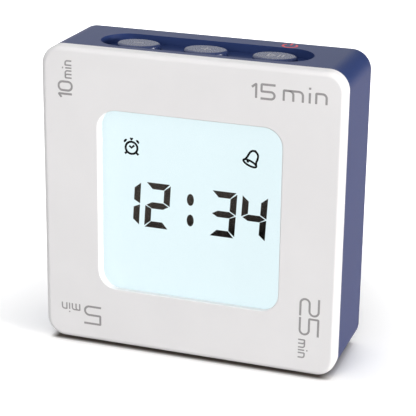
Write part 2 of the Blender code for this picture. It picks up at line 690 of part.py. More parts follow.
def make_tilt_switches():
    """Two ball switches at plus and minus 45 degrees. The ball rests on the base at the low end."""
    total = TILT_BASE_LENGTH + GAP + TILT_CAN_LENGTH
    half_turn = math.sqrt(0.5)
    depth = ON_BOARD + TILT_CAN_RADIUS
    for side, turn in (("left", -1), ("right", 1)):
        direction = Vector((turn * half_turn, 0, half_turn))
        start = at(turn * TILT_X, depth, BOARD_LOW + TILT_RISE) - direction * total / 2
        middle = (0, CASE_DEPTH / 2)
        base = rod(f"tilt_base_{side}", middle, TILT_CAN_RADIUS, 0, TILT_BASE_LENGTH, "Z", BLACK_EPOXY)
        turned_along(base, start, direction)
        can = rod(f"tilt_can_{side}", middle, TILT_CAN_RADIUS, 0, TILT_CAN_LENGTH, "Z", BRIGHT_METAL)
        bore_radius, bore_end = TILT_CAN_RADIUS - TILT_CAN_WALL, TILT_CAN_LENGTH - TILT_CAN_WALL
        cut(can, rod(f"tilt_bore_{side}", middle, bore_radius, -PAST, bore_end, "Z"))
        turned_along(settled(can), start + direction * (TILT_BASE_LENGTH + GAP), direction)
        form = bmesh.new()
        bmesh.ops.create_uvsphere(form, u_segments=14, v_segments=8, radius=TILT_BALL_RADIUS)
        mesh = bpy.data.meshes.new(f"tilt_ball_{side}")
        form.to_mesh(mesh)
        form.free()
        smooth(mesh)
        ball = linked(f"tilt_ball_{side}", mesh, SCREW_STEEL)
        ball.location = start + direction * (TILT_BASE_LENGTH + GAP + TILT_BALL_RADIUS)


def make_switches():
    """Three side-pressed switches on the board's top edge, and the plungers that the keys press."""
    low = (-SWITCH_WIDTH / 2 - KEY_PITCH, ON_BOARD, SWITCH_TOP - SWITCH_HEIGHT)
    high = (SWITCH_WIDTH / 2 - KEY_PITCH, ON_BOARD + SWITCH_DEPTH, SWITCH_TOP)
    body = block("key_switch_left", low, high, BLACK_EPOXY)
    centre = (-KEY_PITCH, KEY_AXIS)
    plunger_low = SWITCH_TOP - PLUNGER_SEAT
    bore_low = plunger_low - KEY_TRAVEL - GAP
    bore = (PLUNGER_RADIUS + GAP, bore_low, SWITCH_TOP + PAST)
    cut(body, rod("switch_bore", centre, *bore, "Z", steps=SMALL_STEPS))
    plunger = rod(
        "switch_plunger_left", centre, PLUNGER_RADIUS, plunger_low, PLUNGER_TOP, "Z", HOLDER_WHITE, SMALL_STEPS
    )
    origin_to(settled(body), at(-KEY_PITCH, KEY_AXIS, SWITCH_TOP))
    origin_to(plunger, at(-KEY_PITCH, KEY_AXIS, SWITCH_TOP))
    for name, turn in KEY_SIDES[1:]:
        copied(body, f"key_switch_{name}", ((turn + 1) * KEY_PITCH, 0, 0))
        copied(plunger, f"switch_plunger_{name}", ((turn + 1) * KEY_PITCH, 0, 0))


def make_keys():
    """Three oval caps, hollow below, each with a flange under the pocket floor and a stem."""
    centre = (-KEY_PITCH, KEY_AXIS)
    outline = oval(centre, KEY_WIDTH, KEY_DEPTH)
    cap = prism("key_cap_left", outline, KEY_BOTTOM, KEY_TOP, "Z", KEY_NAVY, (0, KEY_FILLET))
    flange = oval(centre, KEY_WIDTH + 2 * KEY_FLANGE, KEY_DEPTH + 2 * KEY_FLANGE)
    join(cap, prism("key_flange", flange, KEY_BOTTOM, FLANGE_TOP, "Z"))
    hollow = oval(centre, KEY_WIDTH - 2 * KEY_SKIN, KEY_DEPTH - 2 * KEY_SKIN)
    cut(cap, prism("key_hollow", hollow, KEY_BOTTOM - PAST, KEY_TOP - KEY_SKIN, "Z"))
    stem_top = KEY_TOP - KEY_SKIN / 2
    join(cap, rod("key_stem", centre, KEY_STEM_RADIUS, KEY_BOTTOM, stem_top, "Z", steps=SMALL_STEPS))
    origin_to(settled(cap), at(-KEY_PITCH, KEY_AXIS, KEY_TOP))
    for name, turn in KEY_SIDES[1:]:
        copied(cap, f"key_cap_{name}", ((turn + 1) * KEY_PITCH, 0, 0))


CELLS = (("lower", LOWER_CELL, 1), ("upper", UPPER_CELL, -1))
TAIL_DEPTH = CELL_AXIS - CELL_RADIUS / 2
TAILS = (("negative", LOWER_CELL, TAIL_DEPTH), ("positive", UPPER_CELL, CELL_AXIS))


def make_cells():
    """Two AAA cells, the lower with its nub to the right and the upper with its nub to the left."""
    for name, z, nub_side in CELLS:
        centre = (CELL_AXIS, z)
        half = CELL_LENGTH / 2
        body_end = half - CELL_NUB_LENGTH
        ends = sorted((-nub_side * half, nub_side * body_end))
        cell = rod(f"battery_cell_{name}", centre, CELL_RADIUS, *ends, "X", CELL_WRAP, LARGE_STEPS)
        nub = sorted((nub_side * (body_end - PAST), nub_side * half))
        join(cell, rod(f"cell_nub_{name}", centre, CELL_NUB_RADIUS, *nub, "X", steps=SMALL_STEPS))


def make_contacts():
    """End plates of the bay. A positive plate has a boss that meets the cell's nub."""
    outer = BAY_HALF - GAP
    inner = outer - PLATE_THICKNESS
    front, back = BAY_FLOOR_BACK + 2 * GAP, DOOR_INNER - MOUTH_LIP_THICKNESS - 3 * GAP
    middle = (LOWER_CELL + UPPER_CELL) / 2
    spans = {
        "contact_negative": (-1, BAY_LOW + GAP, middle - GAP),
        "contact_positive": (-1, middle + GAP, BAY_HIGH - GAP),
        "contact_link": (1, BAY_LOW + GAP, BAY_HIGH - GAP),
    }
    plates = {}
    for name, (side, low, high) in spans.items():
        x = sorted((side * inner, side * outer))
        plates[name] = block(name, (x[0], front, low), (x[1], back, high), BRIGHT_METAL)
    for name, z, side in (("contact_positive", UPPER_CELL, -1), ("contact_link", LOWER_CELL, 1)):
        face = CELL_LENGTH / 2 + GAP
        ends = sorted((side * face, side * (outer - PLATE_THICKNESS / 2)))
        boss = rod(f"{name}_boss", (CELL_AXIS, z), CELL_NUB_RADIUS, *ends, "X", steps=SMALL_STEPS)
        join(plates[name], boss)
    for name, z, depth in TAILS:
        low = (-BAY_HALF - TAIL_REACH, depth - PLATE_THICKNESS / 2, z - TAIL_WIDTH / 2)
        high = (-outer + PLATE_THICKNESS / 2, depth + PLATE_THICKNESS / 2, z + TAIL_WIDTH / 2)
        join(plates[f"contact_{name}"], block(f"{name}_tail", low, high))


def tube(name, points, diameter, finish, sides_level):
    """A round wire along a list of points, closed at both ends."""
    curve = bpy.data.curves.new(name, "CURVE")
    curve.dimensions = "3D"
    curve.bevel_depth = diameter / 2
    curve.bevel_resolution = sides_level
    curve.use_fill_caps = True
    spline = curve.splines.new("POLY")
    spline.points.add(len(points) - 1)
    for point, place in zip(spline.points, points):
        point.co = (*place, 1)
    return linked(name, curve, finish)


def spring_points(side, z):
    """The line of a cone spring that stands on its plate and narrows towards the cell."""
    plate = BAY_HALF - 2 * GAP - PLATE_THICKNESS - SPRING_WIRE / 2
    tip = CELL_LENGTH / 2 + GAP + SPRING_WIRE / 2
    count = round(SPRING_TURNS * SPRING_STEPS)
    points = []
    for k in range(count + 1):
        share = k / count
        angle = 2 * math.pi * SPRING_TURNS * share
        radius = SPRING_BASE_RADIUS + (SPRING_TIP_RADIUS - SPRING_BASE_RADIUS) * share
        x = side * (plate + (tip - plate) * share)
        points.append(at(x, CELL_AXIS + radius * math.cos(angle), z + radius * math.sin(angle)))
    return points


def least_gap(points, diameter, apart):
    """The smallest space between stretches of a wire that lie more than so many points apart."""
    pairs = ((a, b) for k, a in enumerate(points) for b in points[k + apart:])
    return min((a - b).length for a, b in pairs) - diameter


def make_springs():
    for name, z, side in (("lower", LOWER_CELL, -1), ("upper", UPPER_CELL, 1)):
        points = spring_points(side, z)
        tube(f"battery_spring_{name}", points, SPRING_WIRE, BRIGHT_METAL, 1)
        space = least_gap(points, SPRING_WIRE, SPRING_STEPS // 2) * 1000
        print(f"battery_spring_{name}: least gap {space:.2f} mm")


def smooth_route(knots, steps):
    """Points along a smooth curve through the knots."""
    ends = [2 * knots[0] - knots[1]] + knots + [2 * knots[-1] - knots[-2]]
    points = []
    for a, b, c, d in zip(ends, ends[1:], ends[2:], ends[3:]):
        for k in range(steps):
            t = k / steps
            bend = (2 * a - 5 * b + 4 * c - d) * t**2 + (3 * b - a - 3 * c + d) * t**3
            points.append((2 * b + (c - a) * t + bend) / 2)
    return points + [knots[-1]]


def make_wires():
    """Two leads from the contact tails, up beside the bay and in to the board's lower corner."""
    tail_end = BAY_HALF + TAIL_REACH + GAP
    way = (tail_end + HALF_WIDTH - SIDE_WALL) / 2
    pad_depth = ON_BOARD + WIRE_DIAMETER / 2
    finishes = {"negative": BLACK_INSULATION, "positive": RED_INSULATION}
    for k, (name, z, depth) in enumerate(TAILS):
        pad_x = BAY_HALF - k * 2 * WIRE_DIAMETER
        pad_z = BOARD_LOW + 2 * WIRE_DIAMETER
        knots = [
            at(-tail_end, depth, z),
            at(-way, depth, z + WIRE_DIAMETER),
            at(-way, depth, z + 4 * WIRE_DIAMETER),
            at(-way, depth, BAY_HIGH - WIRE_DIAMETER),
            at(-(way + 2 * pad_x) / 3, depth + k * WIRE_DIAMETER, pad_z),
            at(-pad_x, (depth + pad_depth) / 2, pad_z + WIRE_DIAMETER / 2),
            at(-pad_x, ON_BOARD, pad_z),
        ]
        tube(f"wire_{name}", smooth_route(knots, 4), WIRE_DIAMETER, finishes[name], 1)


def screw(name, centre, head_radius, head, shank_radius, length, under_head):
    """A pan-head screw along Y: its head behind the depth under_head and its shank in front of it."""
    top = under_head + head
    made = rod(name, centre, head_radius, under_head, top, finish=SCREW_STEEL, fillets=(0, head / 3))
    ends = (under_head - length, under_head + head / 2)
    join(made, rod(f"{name}_shank", centre, shank_radius, *ends, steps=SMALL_STEPS))
    return made


def make_screws():
    groups = (
        ("case_screw", CASE_POSTS, CASE_SCREW_HEAD_RADIUS, CASE_SCREW_HEAD, CASE_SCREW_RADIUS,
         CASE_SCREW_LENGTH, CASE_SCREW_SEAT + GAP),
        ("board_screw", BOARD_POSTS, BOARD_SCREW_HEAD_RADIUS, BOARD_SCREW_HEAD, BOARD_SCREW_RADIUS,
         BOARD_SCREW_LENGTH, ON_BOARD),
    )
    for name, places, *sizes in groups:
        first = settled(screw(f"{name}_1", places[0], *sizes))
        for k, (x, z) in enumerate(places[1:], 2):
            copied(first, f"{name}_{k}", (x - places[0][0], 0, z - places[0][1]))


make_front_shell()
make_rear_shell()
make_battery_door()
make_display()
make_main_board()
make_board_parts()
make_buzzer()
make_tilt_switches()
make_switches()
make_keys()
make_cells()
make_contacts()
make_springs()
make_wires()
make_screws()
print(f"case {CASE_WIDTH * 1000:.1f} x {CASE_DEPTH * 1000:.1f} x {CASE_HEIGHT * 1000:.1f} mm")
print(f"tilt ball travel {tilt_travel() * 1000:.2f} mm")
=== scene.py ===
"""A countdown timer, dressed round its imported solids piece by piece, as it is put together.

Metres throughout. X runs to the right as the display is read, Y from the display to the back, Z up.
The timer stands on its lower edge, and a depth is counted back from its white face.
"""

import math

import bmesh
import bpy
from mathutils import Matrix, Vector


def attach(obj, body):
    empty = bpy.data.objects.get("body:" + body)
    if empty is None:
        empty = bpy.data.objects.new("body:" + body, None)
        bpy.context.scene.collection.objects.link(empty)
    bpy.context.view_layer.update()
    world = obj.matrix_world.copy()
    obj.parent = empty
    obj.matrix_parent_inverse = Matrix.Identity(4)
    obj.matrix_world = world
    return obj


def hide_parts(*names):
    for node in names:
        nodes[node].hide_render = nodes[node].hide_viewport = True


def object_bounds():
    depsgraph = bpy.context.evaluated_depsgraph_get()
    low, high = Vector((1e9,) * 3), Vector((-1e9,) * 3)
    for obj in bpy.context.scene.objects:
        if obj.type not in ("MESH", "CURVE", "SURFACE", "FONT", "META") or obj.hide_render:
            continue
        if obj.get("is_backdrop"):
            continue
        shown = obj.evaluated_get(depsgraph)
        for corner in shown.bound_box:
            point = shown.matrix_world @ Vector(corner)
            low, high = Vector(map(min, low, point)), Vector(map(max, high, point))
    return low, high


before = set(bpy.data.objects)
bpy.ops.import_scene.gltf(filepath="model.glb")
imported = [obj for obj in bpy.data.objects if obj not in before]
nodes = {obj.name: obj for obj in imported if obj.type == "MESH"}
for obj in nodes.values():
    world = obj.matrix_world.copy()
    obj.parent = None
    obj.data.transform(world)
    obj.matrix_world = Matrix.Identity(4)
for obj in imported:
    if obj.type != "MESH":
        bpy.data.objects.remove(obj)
cad_low, cad_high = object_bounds()

# Studio. A white floor that runs to the horizon, with a brown contact shadow painted into it under the case,
# a white sky that mirrors in the gloss, and four large soft lamps: high in front, low to the right, high to
# the left, and behind. The camera looks down on the front's right side, rolled by about a degree, as a
# hand-held one is.
TURN, RISE, ROLL = math.radians(18.926), math.radians(19.624), math.radians(0.765)
STAND_OFF, STAND_RIGHT, STAND_UP = 0.31891, 0.0042495, 0.0008493
LENS_MM, SENSOR_MM, NEAREST = 133.73, 36, 0.01
FACE_MIDDLE = Vector((0, cad_low.y, cad_high.z / 2))
backward = Vector((math.sin(TURN) * math.cos(RISE), -math.cos(TURN) * math.cos(RISE), math.sin(RISE)))
level = Vector((0, 0, 1)).cross(backward).normalized()
upward = backward.cross(level)
sideways = level * math.cos(ROLL) + upward * math.sin(ROLL)
upward = upward * math.cos(ROLL) - level * math.sin(ROLL)
viewpoint = FACE_MIDDLE + backward * STAND_OFF + sideways * STAND_RIGHT + upward * STAND_UP
turned = Matrix((sideways, upward, backward)).transposed()
bpy.ops.object.camera_add(location=viewpoint, rotation=turned.to_euler())
camera = bpy.context.object
camera.data.sensor_width = SENSOR_MM
camera.data.lens = LENS_MM
camera.data.clip_start = NEAREST
bpy.context.scene.camera = camera
bpy.context.scene.view_settings.view_transform = "Standard"


def feed(tree, made, inputs):
    """Sets each input of a shader node to a value, or links it to another node's output."""
    for key, value in inputs.items():
        if isinstance(value, bpy.types.NodeSocket):
            tree.links.new(value, made.inputs[key])
        else:
            made.inputs[key].default_value = value


def add_node(tree, kind, inputs=None):
    """Adds a shader node with its inputs set or linked."""
    made = tree.nodes.new(kind)
    feed(tree, made, inputs or {})
    return made


def split(tree, vector):
    """The parts of a vector, by axis."""
    return add_node(tree, "ShaderNodeSeparateXYZ", {"Vector": vector}).outputs


def chosen(tree, switch, off, on):
    """Passes on one number or the other as a switch goes from 0 to 1."""
    return add_node(tree, "ShaderNodeMix", {"Factor": switch, "A": off, "B": on}).outputs[0]


def tinted(tree, switch, off, on):
    """Passes on one colour or the other as a switch goes from 0 to 1."""
    return add_node(tree, "ShaderNodeMixRGB", {"Fac": switch, "Color1": off, "Color2": on}).outputs[0]


def ramped(tree, value, low, high, low_out=0.0, high_out=1.0, pace="SMOOTHSTEP"):
    """Leads a value from one number to another over a span."""
    limits = {"From Min": low, "From Max": high, "To Min": low_out, "To Max": high_out}
    span = add_node(tree, "ShaderNodeMapRange", {"Value": value, **limits})
    span.interpolation_type = pace
    return span.outputs[0]


def new_finish(name):
    made = bpy.data.materials.new(name)
    made.use_nodes = True
    return made


def opened(finish):
    """A material's node tree, its shader and the object coordinates."""
    tree = finish.node_tree
    return tree, tree.nodes["Principled BSDF"], add_node(tree, "ShaderNodeTexCoord").outputs["Object"]


WHITE = (1.0, 1.0, 1.0, 1.0)
SKY_LEFT, SKY_LIGHT, SKY_SPAN = 0.10, 0.50, (-0.7, 0.0)
GLOSS_LEFT, GLOSS_RIGHT, GLOSS_SPAN = 0.88, 0.12, (-0.25, 0.12)
GLOSS_FRONT, FRONT_SPAN = 0.75, (-0.2, 0.2)
sky = bpy.data.worlds.new("white_sky")
bpy.context.scene.world = sky
sky.use_nodes = True
tree = sky.node_tree
path = add_node(tree, "ShaderNodeLightPath").outputs
parts = split(tree, add_node(tree, "ShaderNodeTexCoord").outputs["Generated"])
behind = ramped(tree, parts["Y"], *FRONT_SPAN)
dimmer = ramped(tree, parts["X"], *GLOSS_SPAN, GLOSS_LEFT, GLOSS_RIGHT)
mirrored = chosen(tree, behind, GLOSS_FRONT, dimmer)
open_sky = ramped(tree, parts["X"], *SKY_SPAN, SKY_LEFT, SKY_LIGHT)
strength = chosen(tree, path["Is Glossy Ray"], open_sky, mirrored)
strength = chosen(tree, path["Is Transmission Ray"], strength, 1.0)
strength = chosen(tree, path["Is Camera Ray"], strength, 1.0)
feed(tree, tree.nodes["Background"], {"Color": WHITE, "Strength": strength})

FLOOR_DROP, FLOOR_SIZE = 0.0008, 8
FLOOR_BOUNCE, FLOOR_WHITE = (0.40, 0.40, 0.40, 1.0), (1.23, 1.23, 1.23, 1.0)
FLOOR_MIRRORED = (1.0, 0.90, 0.88, 1.0)
FLOOR_ROUGHNESS, FLOOR_SPECULAR = 0.9, 0.1
PAINTED_CONTACT_SHADOW = (0.104, 0.086, 0.075, 1.0)
# Along each axis, where the painted brown shadow below the case starts to fade, and where it ends.
PAINTED_SHADOW_ENDS = (
    ("X", -0.0302, -0.0328), ("X", 0.0285, 0.0331), ("Y", -0.0092, -0.0112), ("Y", 0.0092, 0.0112),
)
FAR_GLOW, GLOW_SPAN = 0.5, (0.034, 0.10)
bpy.ops.object.select_all(action="DESELECT")
bpy.ops.mesh.primitive_plane_add(size=FLOOR_SIZE, location=(0, 0, -FLOOR_DROP))
floor = bpy.context.object
floor.name = "floor"
paper = new_finish("white_paper_painted_shadow")
tree, shader, place = opened(paper)
path = add_node(tree, "ShaderNodeLightPath").outputs
parts = split(tree, place)
# The paper's colour holds a painted contact shadow: dark brown under the case's lower edge, fading to white
# past its ends.
paper_and_painted_shadow = PAINTED_CONTACT_SHADOW
for axis, inner, outer in PAINTED_SHADOW_ENDS:
    outside = ramped(tree, parts[axis], inner, outer)
    paper_and_painted_shadow = tinted(tree, outside, paper_and_painted_shadow, FLOOR_WHITE)
shade = tinted(tree, path["Is Camera Ray"], FLOOR_BOUNCE, paper_and_painted_shadow)
shade = tinted(tree, path["Is Transmission Ray"], shade, paper_and_painted_shadow)
shade = tinted(tree, path["Is Glossy Ray"], shade, FLOOR_MIRRORED)
distance = add_node(tree, "ShaderNodeVectorMath")
distance.operation = "LENGTH"
feed(tree, distance, {"Vector": place})
far_glow = ramped(tree, distance.outputs["Value"], *GLOW_SPAN, 0.0, FAR_GLOW)
glow = chosen(tree, path["Is Camera Ray"], 0.0, far_glow)
glow = chosen(tree, path["Is Transmission Ray"], glow, far_glow)
feed(tree, shader, {
    "Base Color": shade, "Roughness": FLOOR_ROUGHNESS, "Specular IOR Level": FLOOR_SPECULAR,
    "Emission Color": WHITE, "Emission Strength": glow,
})
floor.data.materials.append(paper)
floor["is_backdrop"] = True

# Each lamp has a name, a place, a width, a power and a colour. The one behind doesn't mirror.
LAMPS = (
    ("lamp_front", (-0.10, -1.10, 0.60), 0.9, 7.3, (1.0, 1.0, 1.0)),
    ("lamp_right", (1.05, -0.25, 0.15), 0.26, 11.4, (1.0, 0.965, 0.94)),
    ("lamp_above", (-0.65, 0.15, 1.10), 1.2, 3.4, (1.0, 1.0, 1.0)),
    ("lamp_behind", (-0.25, 1.15, 0.30), 0.8, 5.5, (1.0, 1.0, 1.0)),
)
for name, place, width, power, colour in LAMPS:
    aim = (Vector(place) - FACE_MIDDLE).to_track_quat("Z", "Y")
    bpy.ops.object.light_add(type="AREA", location=place, rotation=aim.to_euler())
    lamp = bpy.context.object
    lamp.name = name
    lamp.data.size = width
    lamp.data.energy = power
    lamp.data.color = colour
    lamp.visible_glossy = name != "lamp_behind"


# Front shell. A white moulded tray: a face with the window, a rounded front edge, a short side band,
# and a tongue that plugs into the rear shell. Eight posts behind the face take the screws.
# The mould leaves a fine satin grain, and the seam behind the band is too tight to see into.
X, Y, Z = range(3)
CASE_HALF, CASE_HIGH = cad_high.x, cad_high.z
CORNER, LEAST_CORNER = 0.0042, 0.0003
SEAM, SEAM_HALF_GAP = 0.0029, 0.00001
FACE_WALL, SIDE_WALL, FRONT_EDGE = 0.00238, 0.0018, 0.0011
TONGUE_INSET, TONGUE_END = 0.0011, 0.00439
TUB_ROOM_HALF, TUB_ROOM_BACK, TUB_ROOM_LOW = 0.0246, 0.0070, 0.0609
WINDOW_HALF, WINDOW_CORNER, WINDOW_BACK = 0.0199, 0.0040, 0.0040
WINDOW_EDGE, WINDOW_TRIM_HALF = 0.00030, 0.0205
SILL_RISE, SILL_SLOPE = 0.0003, 0.25
CASE_POSTS = ((-0.0276, 0.0049), (0.0276, 0.0049), (-0.0276, 0.0601), (0.0276, 0.0601))
BOARD_POSTS = ((-0.0274, 0.0330), (0.0274, 0.0330), (-0.0274, 0.0510), (0.0274, 0.0510))
POST_RADIUS, POST_END, POST_SINK = 0.0023, 0.0071, 0.0005
CASE_PILOT, CASE_PILOT_FLOOR = 0.0013, 0.0030
BOARD_PILOT, BOARD_PILOT_FLOOR = 0.00115, 0.0039
PAST, NEAR = 0.001, 1e-6
SHARP, SMOOTH = math.radians(50), math.radians(35)


def at(x, depth, z):
    """A point of the model, from its depth behind the white face."""
    return Vector((x, depth + cad_low.y, z))


def only(piece):
    """Leaves one piece selected and active, in object mode."""
    bpy.ops.object.select_all(action="DESELECT")
    piece.select_set(True)
    bpy.context.view_layer.objects.active = piece


def settle(piece, name):
    """Names a new piece and puts its place into its mesh."""
    piece.name = name
    piece.data.name = name
    only(piece)
    bpy.ops.object.transform_apply(location=True, rotation=True, scale=True)
    return piece


def add_box(name, low, high):
    """A box between two corners, each (x, depth, z)."""
    low, high = at(*low), at(*high)
    bpy.ops.object.select_all(action="DESELECT")
    bpy.ops.mesh.primitive_cube_add(size=1, location=(low + high) / 2, scale=high - low)
    return settle(bpy.context.object, name)


def add_rod(name, low, high, radius, sides=32):
    """A rod between the middles of its two ends, each (x, depth, z), along one axis."""
    low, high = at(*low), at(*high)
    along = (high - low).to_track_quat("Z", "Y")
    length = (high - low).length
    bpy.ops.object.select_all(action="DESELECT")
    bpy.ops.mesh.primitive_cylinder_add(
        vertices=sides, radius=radius, depth=length, location=(low + high) / 2, rotation=along.to_euler()
    )
    return settle(bpy.context.object, name)


def runs(edge, axis):
    """True for an edge that runs along one axis."""
    step = edge.verts[0].co - edge.verts[1].co
    return all(abs(step[k]) < NEAR for k in (X, Y, Z) if k != axis)


def lies(edge, axis, value):
    """True for an edge that lies in a plane square to an axis."""
    return all(abs(vertex.co[axis] - value) < NEAR for vertex in edge.verts)


def within(edge, axis, low, high):
    return all(low < vertex.co[axis] < high for vertex in edge.verts)


def sharp(edge):
    """True for an edge that its two faces meet at a steep angle."""
    return len(edge.link_faces) == 2 and edge.calc_face_angle() > SHARP


def round_off(piece, width, wanted, steps=4):
    """Bevels the edges that a test picks."""
    only(piece)
    bpy.ops.object.mode_set(mode="EDIT")
    bpy.ops.mesh.select_mode(type="EDGE")
    bpy.ops.mesh.select_all(action="DESELECT")
    form = bmesh.from_edit_mesh(piece.data)
    for edge in form.edges:
        edge.select_set(wanted(edge))
    bmesh.update_edit_mesh(piece.data)
    bpy.ops.mesh.bevel(offset=width, segments=steps, profile=0.5, affect="EDGES", clamp_overlap=True)
    bpy.ops.object.mode_set(mode="OBJECT")
    return piece


def rounded_box(name, low, high, corner, steps=16):
    """A box whose four edges along Y are round."""
    return round_off(add_box(name, low, high), corner, lambda edge: runs(edge, Y), steps)


def inset_box(name, inset, low, high):
    """A round-cornered box drawn in from the case's sides, between two depths."""
    half = CASE_HALF - inset
    corner = max(CORNER - inset, LEAST_CORNER)
    return rounded_box(name, (-half, low, inset), (half, high, CASE_HIGH - inset), corner)


def combine(piece, other, operation):
    """Cuts or welds one piece with another, which is then gone."""
    only(piece)
    change = piece.modifiers.new(operation.lower(), "BOOLEAN")
    change.operation = operation
    change.object = other
    bpy.ops.object.modifier_apply(modifier=change.name)
    bpy.data.objects.remove(other, do_unlink=True)


def cut(piece, *tools):
    for other in tools:
        combine(piece, other, "DIFFERENCE")


def weld(piece, *parts):
    for other in parts:
        combine(piece, other, "UNION")


def clean(piece, reach=2 * NEAR):
    """Merges the doubles and drops the slivers that a cut or a fill leaves."""
    only(piece)
    bpy.ops.object.mode_set(mode="EDIT")
    bpy.ops.mesh.select_all(action="SELECT")
    bpy.ops.mesh.remove_doubles(threshold=reach)
    bpy.ops.mesh.dissolve_degenerate(threshold=reach)
    bpy.ops.object.mode_set(mode="OBJECT")


def smooth_off(piece):
    """Smooth shading on the rounds, and flat faces kept flat."""
    clean(piece)
    bpy.ops.object.shade_smooth_by_angle(angle=SMOOTH)
    even = piece.modifiers.new("even", "WEIGHTED_NORMAL")
    even.keep_sharp = True
    bpy.ops.object.modifier_apply(modifier=even.name)


def srgb(red, green, blue):
    """A colour as it is seen, 0 to 255, as the linear values that a shader takes."""
    parts = [c / 255 for c in (red, green, blue)]
    return [c / 12.92 if c <= 0.04045 else ((c + 0.055) / 1.055) ** 2.4 for c in parts]


def banded(tree, value, stops, pace="LINEAR"):
    """Leads a value through colours, each with its position."""
    bands = add_node(tree, "ShaderNodeValToRGB", {"Fac": value})
    bands.color_ramp.interpolation = pace
    for k, (position, colour) in enumerate(stops):
        stop = bands.color_ramp.elements[k] if k < 2 else bands.color_ramp.elements.new(position)
        stop.position = position
        stop.color = (*colour, 1)
    return bands.outputs["Color"]


BUMP_STRENGTH, FINE_DETAIL, GLOSS_DRIFT = 0.5, 2, 0.03
CLOUD_SCALE, CLOUD_DETAIL = 70, 3
NOISE_LOW, NOISE_HIGH = 0.3, 0.7


def moulded(
    name, colour, roughness, grain=0.00014, depth=0.000003, drift=0.02, specular=0.5, metallic=0.0,
    brush=(1, 1, 1),
):
    """A finish with a fine grain in its surface and gloss. Its colour, if given, gets a faint cloud."""
    made = new_finish(name)
    tree, shader, place = opened(made)
    spread = add_node(tree, "ShaderNodeMapping", {"Vector": place, "Scale": brush}).outputs[0]
    grained = {"Vector": spread, "Scale": 1 / grain, "Detail": FINE_DETAIL}
    fine = add_node(tree, "ShaderNodeTexNoise", grained).outputs["Fac"]
    relief = {"Height": fine, "Strength": BUMP_STRENGTH, "Distance": depth}
    glossy, dull = roughness - GLOSS_DRIFT, roughness + GLOSS_DRIFT
    feed(tree, shader, {
        "Roughness": ramped(tree, fine, NOISE_LOW, NOISE_HIGH, glossy, dull, "LINEAR"),
        "Normal": add_node(tree, "ShaderNodeBump", relief).outputs["Normal"],
        "Specular IOR Level": specular,
        "Metallic": metallic,
    })
    if colour:
        clouded = {"Vector": place, "Scale": CLOUD_SCALE, "Detail": CLOUD_DETAIL}
        cloud = add_node(tree, "ShaderNodeTexNoise", clouded).outputs["Fac"]
        dark, pale = ([min(c * share, 1) for c in srgb(*colour)] for share in (1 - drift, 1 + drift))
        feed(tree, shader, {"Base Color": banded(tree, cloud, ((NOISE_LOW, dark), (NOISE_HIGH, pale)))})
    return made


def fit(piece, body, slot, finish, *replaced):
    """Gives a finished piece its material and its body, and hides the solids that it stands for. The slot is
    not used.
    """
    piece.data.materials.clear()
    piece.data.materials.append(finish)
    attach(piece, body)
    if replaced:
        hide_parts(*replaced)


tray = inset_box("white_tray", 0, 0, SEAM - SEAM_HALF_GAP)
round_off(tray, FRONT_EDGE, lambda edge: lies(edge, Y, cad_low.y), steps=8)
weld(tray, inset_box("tongue", TONGUE_INSET, FACE_WALL / 2, TONGUE_END))
cut(tray, inset_box("tray_hollow", SIDE_WALL, FACE_WALL, TONGUE_END + PAST))
tub_room_low = (-TUB_ROOM_HALF, SEAM, TUB_ROOM_LOW)
cut(tray, add_box("tub_room", tub_room_low, (TUB_ROOM_HALF, TUB_ROOM_BACK, CASE_HIGH + PAST)))
window_low = (-WINDOW_HALF, -PAST, CASE_HIGH / 2 - WINDOW_HALF)
window_high = (WINDOW_HALF, WINDOW_BACK, CASE_HIGH / 2 + WINDOW_HALF)
window = rounded_box("window", window_low, window_high, WINDOW_CORNER)
for vertex in window.data.vertices:
    if vertex.co.z < CASE_HIGH / 2:
        vertex.co.z += SILL_RISE - SILL_SLOPE * (vertex.co.y - cad_low.y)
cut(tray, window)
round_off(
    tray, WINDOW_EDGE,
    lambda edge: lies(edge, Y, cad_low.y) and sharp(edge)
    and within(edge, X, -WINDOW_TRIM_HALF, WINDOW_TRIM_HALF),
)
pilots = ((CASE_POSTS, CASE_PILOT, CASE_PILOT_FLOOR), (BOARD_POSTS, BOARD_PILOT, BOARD_PILOT_FLOOR))
for places, bore, bore_floor in pilots:
    for x, z in places:
        weld(tray, add_rod("post", (x, FACE_WALL - POST_SINK, z), (x, POST_END, z), POST_RADIUS))
        cut(tray, add_rod("pilot", (x, bore_floor, z), (x, POST_END + PAST, z), bore, sides=20))
smooth_off(tray)
white_plastic = moulded("white_plastic", (231, 230, 231), roughness=0.42, specular=0.2)
fit(tray, "case", "white_shell", white_plastic, "front_shell")


# Corner prints. Grey ink, pad-printed on the face: each corner names the time that starts when its
# edge is turned down, so it reads upright only then. The signs are thin lines with round bends.
MM = 0.001
INK_PROUD = 0.00001
TIGHT_BEND = 0.00012
FLAG, TAIL, DOT_LOW, DOT_HIGH = 0.8, 0.062, 1.32, 1.52


def bent(path, steps=5):
    """A path of (u, v, reach) with each inner corner bent to an arc that starts its reach before it."""
    points = [Vector(path[0][:2])]
    for before, corner, after in zip(path, path[1:], path[2:]):
        tip = Vector(corner[:2])
        reach = max(corner[2], TIGHT_BEND)
        back, ahead = (Vector(before[:2]) - tip).normalized(), (Vector(after[:2]) - tip).normalized()
        roundness = math.sqrt((1 - back.dot(ahead)) / 2)
        for k in range(steps + 1):
            share = k / steps
            near, middle, far = (1 - share) ** 2, 2 * roundness * share * (1 - share), share ** 2
            points.append(tip + (back * near + ahead * far) * reach / (near + middle + far))
    points.append(Vector(path[-1][:2]))
    return points


